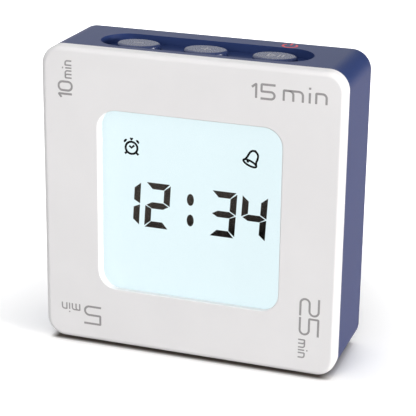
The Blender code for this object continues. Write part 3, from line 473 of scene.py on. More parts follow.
def sign(name, wide, high, bend):
    """The lines of one sign, from its lower left corner. The free ends of a 2 and a 5 run on a little."""
    half, middle, tail = high / 2, wide / 2, TAIL * wide
    if name == "0":
        top = (middle, high, 0)
        return [[top, (wide, high, bend), (wide, 0, bend), (0, 0, bend), (0, high, bend), top]]
    if name == "1":
        return [[(0, high - wide * FLAG, 0), (wide, high, 0), (wide, 0, 0)]]
    if name == "2":
        turns = ((wide, high), (wide, half), (0, half), (0, 0))
        return [[(-tail, high, 0), *((u, v, bend) for u, v in turns), (wide + tail, 0, 0)]]
    if name == "5":
        start = [(wide + tail, high, 0), (0, high, 0), (0, half, 0)]
        return [start + [(wide, half, bend), (wide, 0, bend), (-tail, 0, 0)]]
    if name == "i":
        return [[(0, 0, 0), (0, high, 0)], [(0, high * DOT_LOW, 0), (0, high * DOT_HIGH, 0)]]
    if name == "n":
        return [[(0, 0, 0), (0, high, 0), (wide, high, bend), (wide, 0, 0)]]
    arch = [(middle - bend, high, 0), (wide, high, bend), (wide, 0, 0)]
    return [[(0, 0, 0), (0, high, 0), (middle, high, bend), (middle, 0, 0)], arch]


def ink_lines(name, paths, width, place):
    """Draws each path as a round cord in a flat plane, presses it flat and puts it in place."""
    bpy.ops.object.select_all(action="DESELECT")
    bpy.ops.object.add(type="CURVE")
    line = bpy.context.object
    line.data.dimensions = "3D"
    line.data.bevel_depth = width / 2
    line.data.bevel_resolution = 1
    line.data.use_fill_caps = True
    for path in paths:
        closed = (Vector(path[0]) - Vector(path[-1])).length < NEAR
        spots = path[:-1] if closed else path
        spline = line.data.splines.new("POLY")
        spline.use_cyclic_u = closed
        spline.points.add(len(spots) - 1)
        for point, spot in zip(spline.points, spots):
            point.co = (*spot, 0, 1)
    bpy.ops.object.convert(target="MESH")
    line = bpy.context.object
    clean(line, NEAR / 10)
    bpy.ops.object.shade_flat()
    line.matrix_world = place @ Matrix.Diagonal((1, 1, INK_PROUD / (width / 2), 1))
    return settle(line, name)


def on_face(x, z, degrees, depth=0.0):
    """The place of a drawing on the face or on a plane behind it, turned about its own corner."""
    upright = Matrix.Rotation(math.radians(90), 4, "X")
    turn = Matrix.Rotation(math.radians(degrees), 4, "Z")
    return Matrix.Translation(at(x, depth, z)) @ upright @ turn


def join_all(pieces, name):
    """Joins like pieces into one, each with its own faces."""
    only(pieces[0])
    for piece in pieces[1:]:
        piece.select_set(True)
    if len(pieces) > 1:
        bpy.ops.object.join()
    pieces[0].name = name
    pieces[0].data.name = name
    return pieces[0]


def time_print(name, signs, width, small_width, drop, place):
    """A time: each sign with its own left edge, width, height and bend. The unit may sit lower."""
    large, small = [], []
    for sign_name, left, wide, high, bend in signs:
        rise = 0 if sign_name.isdigit() else -drop
        paths = sign(sign_name, wide, high, bend)
        lines = [bent([(u + left, v + rise, r) for u, v, r in path]) for path in paths]
        (large if sign_name.isdigit() else small).extend(lines)
    number = ink_lines(name, large, width, place)
    return join_all([number, ink_lines(f"{name}_unit", small, small_width, place)], name)


# Each print has its first sign's foot on the face and its turn in degrees. Then, in millimetres, come
# the ink's width in the number and in the unit, the unit's drop, and each sign as time_print takes it.
PRINTS = (
    ("print_25", 0.02482, 0.01704, -90, 0.45, 0.32, 0.23, (
        ("2", 0.11, 3.56, 3.90, 0.97), ("5", 4.45, 3.56, 3.90, 0.97),
        ("m", 9.28, 1.70, 1.36, 0.45), ("i", 11.61, 0, 1.36, 0), ("n", 12.24, 1.02, 1.36, 0.45),
    )),
    ("print_5", -0.01977, 0.00791, 180, 0.47, 0.31, 0.20, (
        ("5", 0.03, 3.56, 3.95, 0.98),
        ("m", 4.82, 1.75, 1.45, 0.5), ("i", 7.22, 0, 1.45, 0), ("n", 7.87, 1.05, 1.45, 0.5),
    )),
    ("print_10", -0.02557, 0.05424, 90, 0.46, 0.33, 0, (
        ("1", 0, 0.75, 2.95, 0), ("0", 1.5, 1.85, 2.95, 0.85),
        ("m", 4.2, 1.5, 1.4, 0.45), ("i", 6.3, 0, 1.4, 0), ("n", 6.9, 0.9, 1.4, 0.45),
    )),
    ("print_15", 0.01332, 0.05838, 0, 0.46, 0.46, 0, (
        ("1", 0, 0.9, 2.9, 0), ("5", 2.0, 2.7, 2.9, 0.72),
        ("m", 6.6, 3.9, 2.1, 0.8), ("i", 11.9, 0, 2.1, 0), ("n", 13.2, 2.1, 2.1, 0.8),
    )),
)
grey_ink = moulded("grey_ink", (150, 148, 149), roughness=0.6, drift=0.01)
for name, x, z, degrees, width, small_width, drop, signs in PRINTS:
    sizes = [(key, *(size * MM for size in numbers)) for key, *numbers in signs]
    widths = (width * MM, small_width * MM, drop * MM)
    printed = time_print(name, sizes, *widths, on_face(x, z, degrees))
    fit(printed, "case", "white_shell", grey_ink)


# Rear shell. A navy moulded box: sides and back in one, a pocket in its top for the keys, a bay for
# the cells behind its door, four posts for the case screws and seven sound holes for the buzzer.
REAR, REAR_INNER, REAR_EDGE, BOX_AHEAD = 0.0213, 0.0197, 0.0008, 0.001
REAR_POST_RADIUS, REAR_POST_FRONT, WALL_SINK = 0.0034, 0.0074, 0.0008
BAY_LOW, BAY_HIGH, BAY_HALF, BAY_WALL = 0.0042, 0.0267, 0.02495, 0.0012
BAY_FRONT, BAY_LIP, BAY_LEDGE, MOUTH_HALF = 0.0082, 0.0190, 0.0198, 0.02345
DOOR_HALF, DOOR_LOW, DOOR_HIGH, DOOR_CORNER = 0.02425, 0.0034, 0.0275, 0.0012
LATCH_ROOM_HALF, LATCH_ROOM_FRONT, LATCH_ROOM_LOW, LATCH_ROOM_HIGH = 0.0043, 0.0166, 0.0264, 0.0300
TAB_X, TAB_SLOT_HALF = 0.0120, 0.0028
TAB_SLOT_FRONT, TAB_SLOT_LOW, TAB_SLOT_HIGH, LEDGE_SINK = 0.01793, 0.0021, 0.00435, 0.0001
CELL_LOWER_Z, CELL_UPPER_Z, CELL_DEPTH = 0.00995, 0.02095, 0.01375
TAIL_LEFT, TAIL_RIGHT, TAIL_HALF_DEEP, TAIL_HALF_HIGH = -0.0282, -0.0240, 0.0005, 0.0013
TAIL_PLACES = ((CELL_LOWER_Z, 0.011125), (CELL_UPPER_Z, CELL_DEPTH))
KEY_DEPTH_MIDDLE, KEY_PITCH = 0.01045, 0.0148
KEY_PLACES = {"left": -KEY_PITCH, "middle": 0, "right": KEY_PITCH}
KEY_HOLE_WIDE, KEY_HOLE_DEEP = 0.0100, 0.0076
POCKET_LENGTH, POCKET_WIDTH, POCKET_EDGE = 0.0458, 0.0114, 0.0006
POCKET_FLOOR, POCKET_UNDER, TUB_TOP, TUB_WALL = 0.0631, 0.0617, 0.0641, 0.0014
FIT_GAP, TRIM_SLACK, REAR_MARGIN = 0.0003, 0.0001, 0.002
SCREW_WAY, SCREW_WAY_FRONT, SCREW_WAY_BACK = 0.0013, 0.0060, 0.0140
COUNTERBORE, COUNTERBORE_FLOOR = 0.0022, 0.0120
SOUND_X, SOUND_Z, SOUND_PITCH, SOUND_RADIUS, SOUND_FRONT = -0.0170, 0.0455, 0.0021, 0.0006, 0.0180
FINE_EDGE, BACK_TRIM_HALF = 0.00012, 0.031
OVAL_SIDES = 48


def slot_box(name, length, width, low, high):
    """A long box with half-round ends, upright, at the keys' depth."""
    front, back = KEY_DEPTH_MIDDLE - width / 2, KEY_DEPTH_MIDDLE + width / 2
    made = add_box(name, (-length / 2, front, low), (length / 2, back, high))
    return round_off(made, width / 2 - NEAR, lambda edge: runs(edge, Z), steps=16)


def oval_rod(name, x, wide, deep, low, high):
    """An upright oval rod on the keys' line."""
    bpy.ops.object.select_all(action="DESELECT")
    bpy.ops.mesh.primitive_cylinder_add(
        vertices=OVAL_SIDES, radius=0.5, depth=high - low, scale=(wide, deep, 1),
        location=at(x, KEY_DEPTH_MIDDLE, (low + high) / 2),
    )
    return settle(bpy.context.object, name)


def arc_path(x, z, wide, high, steps=28, start=0.0, end=360.0):
    """Points along an oval about its middle, from one angle in degrees to another."""
    turns = [math.radians(start + (end - start) * k / steps) for k in range(steps + 1)]
    return [(x + wide * math.cos(a), z + high * math.sin(a)) for a in turns]


box = inset_box("navy_box", 0, SEAM + SEAM_HALF_GAP, REAR)
round_off(box, REAR_EDGE, lambda edge: lies(edge, Y, cad_high.y), steps=5)
cut(box, inset_box("box_hollow", SIDE_WALL, BOX_AHEAD, REAR_INNER))
cut(box, inset_box("rebate", TONGUE_INSET - FIT_GAP, BOX_AHEAD, TONGUE_END + FIT_GAP))
rooted = REAR_INNER + WALL_SINK
for x, z in CASE_POSTS:
    weld(box, add_rod("rear_post", (x, REAR_POST_FRONT, z), (x, rooted, z), REAR_POST_RADIUS))
bay_low = (-BAY_HALF - BAY_WALL, REAR_POST_FRONT, BAY_LOW - BAY_WALL)
weld(box, add_box("bay", bay_low, (BAY_HALF + BAY_WALL, rooted, BAY_HIGH + BAY_WALL)))
tub_size = (POCKET_LENGTH + 2 * TUB_WALL, POCKET_WIDTH + 2 * TUB_WALL)
weld(box, slot_box("tub", *tub_size, POCKET_UNDER, TUB_TOP))
cut(box, slot_box("pocket", POCKET_LENGTH, POCKET_WIDTH, POCKET_FLOOR, CASE_HIGH + 2 * PAST))
pocket_front = at(0, KEY_DEPTH_MIDDLE - POCKET_WIDTH / 2, 0).y
round_off(
    box, POCKET_EDGE,
    lambda edge: lies(edge, Z, CASE_HIGH) and sharp(edge)
    and within(edge, Y, pocket_front - TRIM_SLACK, cad_high.y - REAR_MARGIN),
)
for x in KEY_PLACES.values():
    hole_size = (KEY_HOLE_WIDE, KEY_HOLE_DEEP, POCKET_UNDER - 2 * PAST, POCKET_FLOOR + PAST)
    cut(box, oval_rod("key_hole", x, *hole_size))
cut(
    box,
    add_box("bay_hollow", (-BAY_HALF, BAY_FRONT, BAY_LOW), (BAY_HALF, BAY_LIP, BAY_HIGH)),
    add_box("bay_mouth", (-MOUTH_HALF, BAY_LIP - PAST, BAY_LOW), (MOUTH_HALF, REAR + PAST, BAY_HIGH)),
    rounded_box(
        "door_seat", (-DOOR_HALF - FIT_GAP, BAY_LEDGE, DOOR_LOW - FIT_GAP),
        (DOOR_HALF + FIT_GAP, REAR + PAST, DOOR_HIGH + FIT_GAP), DOOR_CORNER + FIT_GAP, steps=8,
    ),
    add_box(
        "latch_notch", (-LATCH_ROOM_HALF, LATCH_ROOM_FRONT, LATCH_ROOM_LOW),
        (LATCH_ROOM_HALF, REAR + PAST, LATCH_ROOM_HIGH),
    ),
)
for x in (-TAB_X, TAB_X):
    slot_low = (x - TAB_SLOT_HALF, TAB_SLOT_FRONT, TAB_SLOT_LOW)
    cut(box, add_box("tab_slot", slot_low, (x + TAB_SLOT_HALF, BAY_LEDGE + LEDGE_SINK, TAB_SLOT_HIGH)))
for z, depth in TAIL_PLACES:
    tail_low = (TAIL_LEFT, depth - TAIL_HALF_DEEP, z - TAIL_HALF_HIGH)
    cut(box, add_box("tail_slot", tail_low, (TAIL_RIGHT, depth + TAIL_HALF_DEEP, z + TAIL_HALF_HIGH)))
for x, z in CASE_POSTS:
    cut(
        box,
        add_rod("screw_way", (x, SCREW_WAY_FRONT, z), (x, SCREW_WAY_BACK, z), SCREW_WAY, sides=24),
        add_rod("counterbore", (x, COUNTERBORE_FLOOR, z), (x, REAR + PAST, z), COUNTERBORE),
    )
sound_ring = arc_path(SOUND_X, SOUND_Z, SOUND_PITCH, SOUND_PITCH, steps=6)[:-1]
for x, z in ((SOUND_X, SOUND_Z), *sound_ring):
    cut(box, add_rod("sound_hole", (x, SOUND_FRONT, z), (x, REAR + PAST, z), SOUND_RADIUS, sides=20))
round_off(
    box, FINE_EDGE,
    lambda edge: lies(edge, Y, cad_high.y) and sharp(edge)
    and within(edge, X, -BACK_TRIM_HALF, BACK_TRIM_HALF),
    steps=2,
)
smooth_off(box)
navy_plastic = moulded("navy_plastic", (41, 57, 103), roughness=0.42, depth=0.000004, specular=0.175)
fit(box, "case", "navy_shell", navy_plastic, "rear_shell")


# Power mark. Red ink, pad-printed on the top behind the third key: a ring that is open to the back,
# and a bar in the gap.
RING_X, RING_DEPTH, RING_RADIUS, RING_INK = 0.0157, 0.0181, 0.00149, 0.00045
RING_BACK, RING_GAP = 90, 40
BAR_LOW, BAR_HIGH = 0.0004, 0.0020
ring = arc_path(
    0, 0, RING_RADIUS, RING_RADIUS, steps=24, start=RING_BACK + RING_GAP, end=RING_BACK + 360 - RING_GAP
)
power_place = Matrix.Translation(at(RING_X, RING_DEPTH, CASE_HIGH))
power = ink_lines("power_mark", [ring, [(0, BAR_LOW), (0, BAR_HIGH)]], RING_INK, power_place)
red_ink = moulded("red_ink", (224, 52, 64), roughness=0.5, drift=0.01)
fit(power, "case", "navy_shell", red_ink)


# Key caps. Three oval navy caps, hollow below, that drop into the pocket's holes from inside. A
# flange keeps each one in, and a stem under its top presses the switch. Each carries a pale mark.
CAP_WIDE, CAP_DEEP, CAP_LOW, CAP_TOP = 0.0094, 0.0070, 0.0606, 0.06464
CAP_EDGE, CAP_SKIN = 0.0006, 0.0010
FLANGE, FLANGE_TOP, STEM = 0.0009, 0.0614, 0.0015
MARK_INK, MARK_ARM = 0.00036, 0.0011
SIGN_ARM, TRIANGLE_BACK, TRIANGLE_TIP, PAUSE_BARS = 0.0010, -0.0014, 0.0001, (0.0009, 0.0017)


def copy_to(piece, name, x, z=0.0):
    """A copy with its own mesh, moved along X and Z."""
    only(piece)
    bpy.ops.object.duplicate(linked=False)
    twin = bpy.context.object
    bpy.ops.transform.translate(value=(x, 0, z))
    return settle(twin, name)


left = KEY_PLACES["left"]
cap = oval_rod("cap_left", left, CAP_WIDE, CAP_DEEP, CAP_LOW, CAP_TOP)
round_off(cap, CAP_EDGE, lambda edge: lies(edge, Z, CAP_TOP))
weld(cap, oval_rod("flange", left, CAP_WIDE + 2 * FLANGE, CAP_DEEP + 2 * FLANGE, CAP_LOW, FLANGE_TOP))
hollow_size = (CAP_WIDE - 2 * CAP_SKIN, CAP_DEEP - 2 * CAP_SKIN, CAP_LOW - PAST, CAP_TOP - CAP_SKIN)
cut(cap, oval_rod("cap_hollow", left, *hollow_size))
stem_ends = [(left, KEY_DEPTH_MIDDLE, z) for z in (CAP_LOW, CAP_TOP - CAP_SKIN / 2)]
weld(cap, add_rod("stem", *stem_ends, STEM, sides=24))
smooth_off(cap)
caps = {"left": cap}
for side in ("middle", "right"):
    caps[side] = copy_to(cap, f"cap_{side}", KEY_PLACES[side] - left)

level_line, upright_line = [(-MARK_ARM, 0), (MARK_ARM, 0)], [(0, -MARK_ARM), (0, MARK_ARM)]
triangle = bent([
    (TRIANGLE_BACK, 0, 0), (TRIANGLE_BACK, SIGN_ARM, 0), (TRIANGLE_TIP, 0, 0), (TRIANGLE_BACK, -SIGN_ARM, 0),
    (TRIANGLE_BACK, 0, 0),
])
MARKS = {
    "left": [level_line],
    "middle": [level_line, upright_line],
    "right": [triangle, *[[(x, -SIGN_ARM), (x, SIGN_ARM)] for x in PAUSE_BARS]],
}
key_plastic = moulded("key_plastic", (42, 55, 96), roughness=0.26, depth=0.000002)
pale_ink = moulded("pale_ink", (156, 156, 162), roughness=0.5, drift=0.01)
for side, x in KEY_PLACES.items():
    fit(caps[side], f"key_{side}", "key_navy", key_plastic, f"key_cap_{side}")
    mark_place = Matrix.Translation(at(x, KEY_DEPTH_MIDDLE, CAP_TOP))
    mark = ink_lines(f"mark_{side}", MARKS[side], MARK_INK, mark_place)
    fit(mark, f"key_{side}", "key_navy", pale_ink)


# Display. A clear lens behind the window's rim, and behind it the cell: two glass plates with a film
# between them, lit from behind, on which the driven segments turn dark. Four digits, a colon and two
# small signs are driven.
LENS_TINT, LENS_ALPHA, ACRYLIC_IOR = (0.01, 0.012, 0.014, 1), 0.05, 1.49
SCRATCH_SCALE, LENS_CLEAR, LENS_DULL = 900, 0.02, 0.07
GLASS_GLOW, GLASS_LIGHT = 0.94, (233, 251, 255)
GLASS_DEPTH, SEGMENT_THICK = 0.0035, 0.00002
DIGIT_WIDE, DIGIT_HIGH, DIGIT_BASE, DIGIT_WAIST = 0.00546, 0.0100, 0.02668, 0.506
BAR, SLANT, MITRE = 0.00140, 0.055, 0.000085
# Each digit's right edge, and the segments that it shows.
DIGIT_RIGHTS = ((-0.01160, "bc"), (-0.00495, "abged"), (0.00965, "abgcd"), (0.01627, "fgbc"))
COLON_X, COLON_HIGH, COLON_WIDE = -0.00062, 0.00262, 0.00155
COLON_HEIGHTS = (0.03394, 0.02938)


def dress(finish, *names):
    """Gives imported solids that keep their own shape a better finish."""
    for name in names:
        nodes[name].material_slots[0].material = finish


def plate(name, outline):
    """A thin flat plate that stands proud of the glass. The outline is (x, z)."""
    bpy.ops.object.select_all(action="DESELECT")
    bpy.ops.mesh.primitive_circle_add(vertices=len(outline), radius=MM, fill_type="NGON")
    piece = settle(bpy.context.object, name)
    for vertex, (x, z) in zip(piece.data.vertices, outline):
        vertex.co = at(x, GLASS_DEPTH, z)
    bpy.ops.object.mode_set(mode="EDIT")
    bpy.ops.mesh.select_all(action="SELECT")
    bpy.ops.mesh.extrude_region_move(TRANSFORM_OT_translate={"value": (0, -SEGMENT_THICK, 0)})
    bpy.ops.mesh.select_all(action="SELECT")
    bpy.ops.mesh.normals_make_consistent(inside=False)
    bpy.ops.object.mode_set(mode="OBJECT")
    return piece


lens = new_finish("clear_acrylic")
tree, shader, place = opened(lens)
scratches = add_node(tree, "ShaderNodeTexNoise", {"Vector": place, "Scale": SCRATCH_SCALE}).outputs["Fac"]
feed(tree, shader, {
    "Base Color": LENS_TINT, "Alpha": LENS_ALPHA, "IOR": ACRYLIC_IOR,
    "Roughness": ramped(tree, scratches, 0.0, 1.0, LENS_CLEAR, LENS_DULL, "LINEAR"),
})
dress(lens, "display_lens")
lit_glass = moulded("lit_glass", (92, 104, 108), roughness=0.3, grain=0.0004, depth=0.0000005, drift=0.004)
lit_shader = lit_glass.node_tree.nodes["Principled BSDF"]
lit_shader.inputs["Emission Color"].default_value = (*srgb(*GLASS_LIGHT), 1)
lit_shader.inputs["Emission Strength"].default_value = GLASS_GLOW
dress(lit_glass, "lcd_cell")

# The segments of a digit, from its lower left corner. Their mitred ends leave a gap to the next one.
wide, high, half = DIGIT_WIDE, DIGIT_HIGH, DIGIT_HIGH * DIGIT_WAIST
inner, gap = wide - BAR, MITRE
upper, lower = half + BAR / 2, half - BAR / 2
tip, nick, point = 3.6 * gap, 2.4 * gap, 3.0 * gap
over, under, notch = 0.4 * gap, 2.6 * gap, 1.6 * gap
SEGMENTS = {
    "a": ((gap, high), (wide - nick, high), (inner - gap, high - BAR), (BAR + gap, high - BAR)),
    "b": ((wide, high - tip), (wide, half + over), (inner, upper + gap), (inner, high - BAR - gap)),
    "c": ((wide, half - under), (wide, tip), (inner, BAR + gap), (inner, lower - notch)),
    "d": ((gap, 0), (BAR + gap, BAR), (inner - gap, BAR), (wide - nick, 0)),
    "e": ((0, half - under), (0, tip), (BAR, BAR + gap), (BAR, lower - notch)),
    "f": ((0, high - tip), (0, half + over), (BAR, upper + gap), (BAR, high - BAR - gap)),
    "g": (
        (point, half - gap), (BAR + gap, upper - gap), (inner - gap, upper - gap),
        (wide - point, half - gap), (inner - gap, lower - gap), (BAR + gap, lower - gap),
    ),
}
driven = []
for right, lit in DIGIT_RIGHTS:
    left = right - DIGIT_WIDE
    for key in lit:
        outline = [(left + u + (v - high) * SLANT, DIGIT_BASE + v) for u, v in SEGMENTS[key]]
        driven.append(plate("segment", outline))
for z in COLON_HEIGHTS:
    driven.append(plate("dot", arc_path(COLON_X, z, COLON_WIDE / 2, COLON_HIGH / 2, steps=24)[:-1]))
digits = join_all(driven, "display_digits")

# The two small signs, in millimetres about their own middles.
CLOCK_INK, CLOCK_X, CLOCK_Z, CLOCK_RADIUS = 0.47, -13.77, 43.79, 1.32
CLOCK_HANDS = [(-0.50, 0.45), (-0.01, 0.02), (0.64, 0.60)]
CLOCK_FEET = ([(-0.92, -0.88), (-1.48, -1.38)], [(0.98, -0.90), (1.55, -1.42)])
CLOCK_HAMMER = (
    (-0.96, 1.72), (-1.14, 1.84), (-1.42, 1.80), (-1.72, 1.50), (-1.72, 1.12), (-1.60, 1.00),
    (-1.36, 1.16), (-1.10, 1.46),
)
CLOCK_KNOB = (
    (-0.40, 2.08), (-0.26, 2.22), (0.0, 2.16), (0.26, 2.22), (0.40, 2.08), (0.12, 1.62), (-0.12, 1.62),
)
BELL_INK, BELL_X, BELL_Z, BELL_BEND = 0.44, 12.15, 43.46, 0.15
BELL_DOME = (
    (-1.30, 0.66), (-0.96, 0.84), (-0.58, 1.31), (-0.27, 1.90), (0.03, 2.40), (0.49, 2.73), (1.00, 2.72),
    (1.39, 2.43), (1.70, 1.96), (1.73, 1.45), (1.57, 0.83), (1.34, 0.29), (1.34, -0.17), (1.42, -0.50),
)
BELL_CROWN = [(1.12, 2.70), (1.22, 2.90)]
MOUTH_TILT, MOUTH_WIDE, MOUTH_HIGH = -23.5, 1.50, 0.52
CLAPPER_X, CLAPPER_Z, CLAPPER_RADIUS = -0.43, 0.40, 0.30


def display_sign(name, lines, ink, x, z, solids):
    """A small sign on the display, from its lines and its solid spots."""
    paths = [[Vector(point) * MM for point in path] for path in lines]
    drawn = ink_lines(name, paths, ink * MM, on_face(x * MM, z * MM, 0, GLASS_DEPTH))
    spots = [[((x + u) * MM, (z + v) * MM) for u, v in outline] for outline in solids]
    return join_all([drawn, *[plate("spot", outline) for outline in spots]], name)


clock_lines = [arc_path(0, 0, CLOCK_RADIUS, CLOCK_RADIUS), CLOCK_HANDS, *CLOCK_FEET]
clock_solids = (CLOCK_HAMMER, [(-u, v) for u, v in CLOCK_HAMMER], CLOCK_KNOB)
sign_clock = display_sign("sign_clock", clock_lines, CLOCK_INK, CLOCK_X, CLOCK_Z, clock_solids)
tilt = Matrix.Rotation(math.radians(MOUTH_TILT), 2)
mouth = [tilt @ Vector(point) for point in arc_path(0, 0, MOUTH_WIDE, MOUTH_HIGH)]
bell_lines = [bent([(u, v, BELL_BEND) for u, v in BELL_DOME], steps=2), mouth, BELL_CROWN]
clapper = arc_path(CLAPPER_X, CLAPPER_Z, CLAPPER_RADIUS, CLAPPER_RADIUS, steps=12)[:-1]
sign_bell = display_sign("sign_bell", bell_lines, BELL_INK, BELL_X, BELL_Z, (clapper,))

# Painted shading: the driven film is darkest at the digits' lower right and painted greyer towards the upper
# left, a fixed fade in place of the greying the segments show with the angle they are seen from.
PAINTED_FADE_TURN, PAINTED_FADE_SPAN = math.radians(14), (0.024, 0.031)
PAINTED_FADE_STOPS = ((0, srgb(12, 10, 9)), (1, srgb(62, 57, 53)))
dark_film = moulded("dark_film", None, roughness=0.35, grain=0.0004, specular=0.05)
tree, shader, place = opened(dark_film)
leaned = add_node(tree, "ShaderNodeMapping", {"Vector": place, "Rotation": (0, PAINTED_FADE_TURN, 0)}).outputs[0]
painted_fade = ramped(tree, split(tree, leaned)["Z"], *PAINTED_FADE_SPAN, pace="LINEAR")
feed(tree, shader, {"Base Color": banded(tree, painted_fade, PAINTED_FADE_STOPS)})
fit(digits, "case", "display_glass", dark_film)
black_film = moulded("black_film", (6, 5, 5), roughness=0.4, grain=0.0004, specular=0.05)
for piece in (sign_clock, sign_bell):
    fit(piece, "case", "display_glass", black_film)


# Back light and holder. A clear guide behind the cell spreads the light of two small lamps at its
# ends, a white frame keeps lens, cell and guide in line, and a rubber strip of thin conducting
# layers joins the cell's ledge to the board.
guide_acrylic = moulded("guide_acrylic", (236, 246, 252), roughness=0.2, grain=0.0005)
holder_plastic = moulded("holder_plastic", (236, 236, 234), roughness=0.5)
LAYERS = (1, 0.02, 0.02)
layered_rubber = moulded(
    "layered_rubber", (150, 150, 150), roughness=0.75, grain=0.00005, drift=0.2, brush=LAYERS
)
dress(guide_acrylic, "light_guide")
dress(holder_plastic, "display_holder", "backlight_lamp_left", "backlight_lamp_right")
dress(layered_rubber, "zebra_strip")


# Main board. Green solder mask over fine copper tracks, with a chip under a black blob, a watch
# crystal, a capacitor can and a small transistor, and four pan-head screws into the face's posts.
TRACK_SCALE, TRACK_WIDTH = 160, 0.045
MASK_GREEN, MASK_SHADE, TRACK_GREEN = srgb(26, 96, 54), srgb(22, 86, 48), srgb(52, 138, 82)
mask = moulded("solder_mask", None, roughness=0.32, grain=0.0004, depth=0.000004)
tree, shader, place = opened(mask)
upright = {"Vector": place, "Rotation": (math.radians(90), 0, 0)}
tracks = add_node(tree, "ShaderNodeTexBrick", {
    "Vector": add_node(tree, "ShaderNodeMapping", upright).outputs[0],
    "Scale": TRACK_SCALE, "Mortar Size": TRACK_WIDTH,
    "Color1": (*MASK_GREEN, 1), "Color2": (*MASK_SHADE, 1), "Mortar": (*TRACK_GREEN, 1),
})
feed(tree, shader, {"Base Color": tracks.outputs["Color"]})
dress(mask, "main_board")
black_mould = moulded("black_mould", (26, 26, 28), roughness=0.4)
nickel = moulded("nickel_plate", (200, 201, 203), roughness=0.26, metallic=1.0, brush=(0.15, 1, 1))
zinc = moulded("zinc_plate", (158, 160, 164), roughness=0.32, metallic=1.0)
dress(black_mould, "driver_blob", "transistor")
dress(nickel, "crystal", "capacitor")
dress(zinc, "board_screw_1", "board_screw_2", "board_screw_3", "board_screw_4")


# Buzzer and tilt switches. The buzzer is a black cup over a thin brass disc. Each tilt switch is a
# plated can on a black base, and the steel ball inside it rolls on to the base when that end is low.
brass = moulded("brass_sheet", (202, 168, 92), roughness=0.32, metallic=1.0)
dress(black_mould, "buzzer_case", "tilt_base_left", "tilt_base_right")
dress(brass, "buzzer_disc")
dress(nickel, "tilt_can_left", "tilt_can_right")
dress(zinc, "tilt_ball_left", "tilt_ball_right")


# Key switches. Three black side-pressed switches, soldered along the board's upper edge. Each has a
# white plunger, which the stem of its key pushes down.
plunger_plastic = moulded("plunger_plastic", (238, 238, 236), roughness=0.45)
for side in KEY_PLACES:
    dress(black_mould, f"key_switch_{side}")
    dress(plunger_plastic, f"switch_plunger_{side}")


# Cells. Two AAA cells, head to tail: a steel can in a printed sleeve with a silver band at the
# positive end, a pressed nub in that end and a flat base at the other.
CELL_RADIUS, CELL_HALF, CELL_SHOULDER = 0.00525, 0.02225, 0.0004
NUB_LENGTH, NUB_RADIUS, NUB_EDGE, NUB_FOOT = 0.0008, 0.0019, 0.00025, 0.0001
END_ON = 0.9
SLEEVE_GREEN, SLEEVE_LINE, SLEEVE_SILVER = srgb(34, 78, 56), srgb(196, 200, 200), srgb(188, 192, 194)
SLEEVE_STOPS = ((0.0, SLEEVE_GREEN), (0.60, SLEEVE_LINE), (0.62, SLEEVE_GREEN), (0.74, SLEEVE_SILVER))


def sleeve(name, side):
    """A printed sleeve: green, with a silver band and a fine pale line towards the positive end."""
    made = moulded(name, None, roughness=0.3, grain=0.0006, depth=0.000002)
    tree, shader, place = opened(made)
    facing = add_node(tree, "ShaderNodeMapping", {"Vector": place, "Scale": (side, 1, 1)}).outputs[0]
    along = ramped(tree, split(tree, facing)["X"], -CELL_HALF, CELL_HALF, pace="LINEAR")
    feed(tree, shader, {"Base Color": banded(tree, along, SLEEVE_STOPS, "CONSTANT")})
    return made


for name, z, side in (("lower", CELL_LOWER_Z, 1), ("upper", CELL_UPPER_Z, -1)):
    base, tip = -side * CELL_HALF, side * CELL_HALF
    rim = side * (CELL_HALF - NUB_LENGTH)
    cell = add_rod(f"cell_{name}", (base, CELL_DEPTH, z), (rim, CELL_DEPTH, z), CELL_RADIUS, sides=48)
    round_off(cell, CELL_SHOULDER, lambda edge: lies(edge, X, base) or lies(edge, X, rim))
    nub = add_rod("nub", (rim - side * PAST, CELL_DEPTH, z), (tip, CELL_DEPTH, z), NUB_RADIUS)
    round_off(nub, NUB_EDGE, lambda edge: lies(edge, X, tip), steps=3)
    weld(cell, nub)
    smooth_off(cell)
    fit(cell, "case", "cell_wrap", sleeve(f"sleeve_{name}", side), f"battery_cell_{name}")
    cell.data.materials.append(nickel)
    for face in cell.data.polygons:
        off_axis = math.hypot(face.center.y - at(0, CELL_DEPTH, 0).y, face.center.z - z)
        on_end = abs(face.normal.x) > END_ON and off_axis < CELL_RADIUS - CELL_SHOULDER
        if on_end or off_axis < NUB_RADIUS + NUB_FOOT:
            face.material_index = 1


# Contacts and leads. Plated spring-steel plates at the bay's ends, with a cone spring against each
# flat base, a pressed boss against each nub, and two leads from the plates' tails to the board.
dress(nickel, "contact_negative", "contact_positive", "contact_link")
dress(nickel, "battery_spring_lower", "battery_spring_upper")
dress(moulded("red_sleeve", (186, 30, 32), roughness=0.45, grain=0.0005), "wire_positive")
dress(moulded("black_sleeve", (28, 28, 30), roughness=0.45, grain=0.0005), "wire_negative")


# Battery door. A navy plate that closes the bay: two tabs hook under the case's lower edge, and a
# folded arm above it gives way to a fingertip. Three grooves under the arm keep the finger on it.
DOOR_FRONT, DOOR_SINK = 0.0201, 0.0207
TAB_HALF, TAB_FRONT, TAB_BACK, TAB_LOW, TAB_HIGH = 0.0025, 0.0184, 0.0194, 0.0022, 0.0048
ROOT_FRONT, ROOT_LOW = 0.0190, 0.0037
ARM_HALF, ARM_FRONT, ARM_LOW, ARM_HIGH = 0.0040, 0.0169, 0.0267, 0.0293
ARM_INNER_TOP, ARM_FOLD_BACK, ARM_OUTER_LOW = 0.0274, 0.0177, 0.0285
GROOVES, GROOVE_DEEP, GROOVE_PITCH, GROOVE_HIGH = 3, 0.0004, 0.0013, 0.0006
GROOVE_LOW, GROOVE_HALF, GROOVE_STEP = 0.0222, 0.0048, 0.0008
door_low, door_high = (-DOOR_HALF, DOOR_FRONT, DOOR_LOW), (DOOR_HALF, REAR, DOOR_HIGH)
door = rounded_box("door_plate", door_low, door_high, DOOR_CORNER, steps=8)
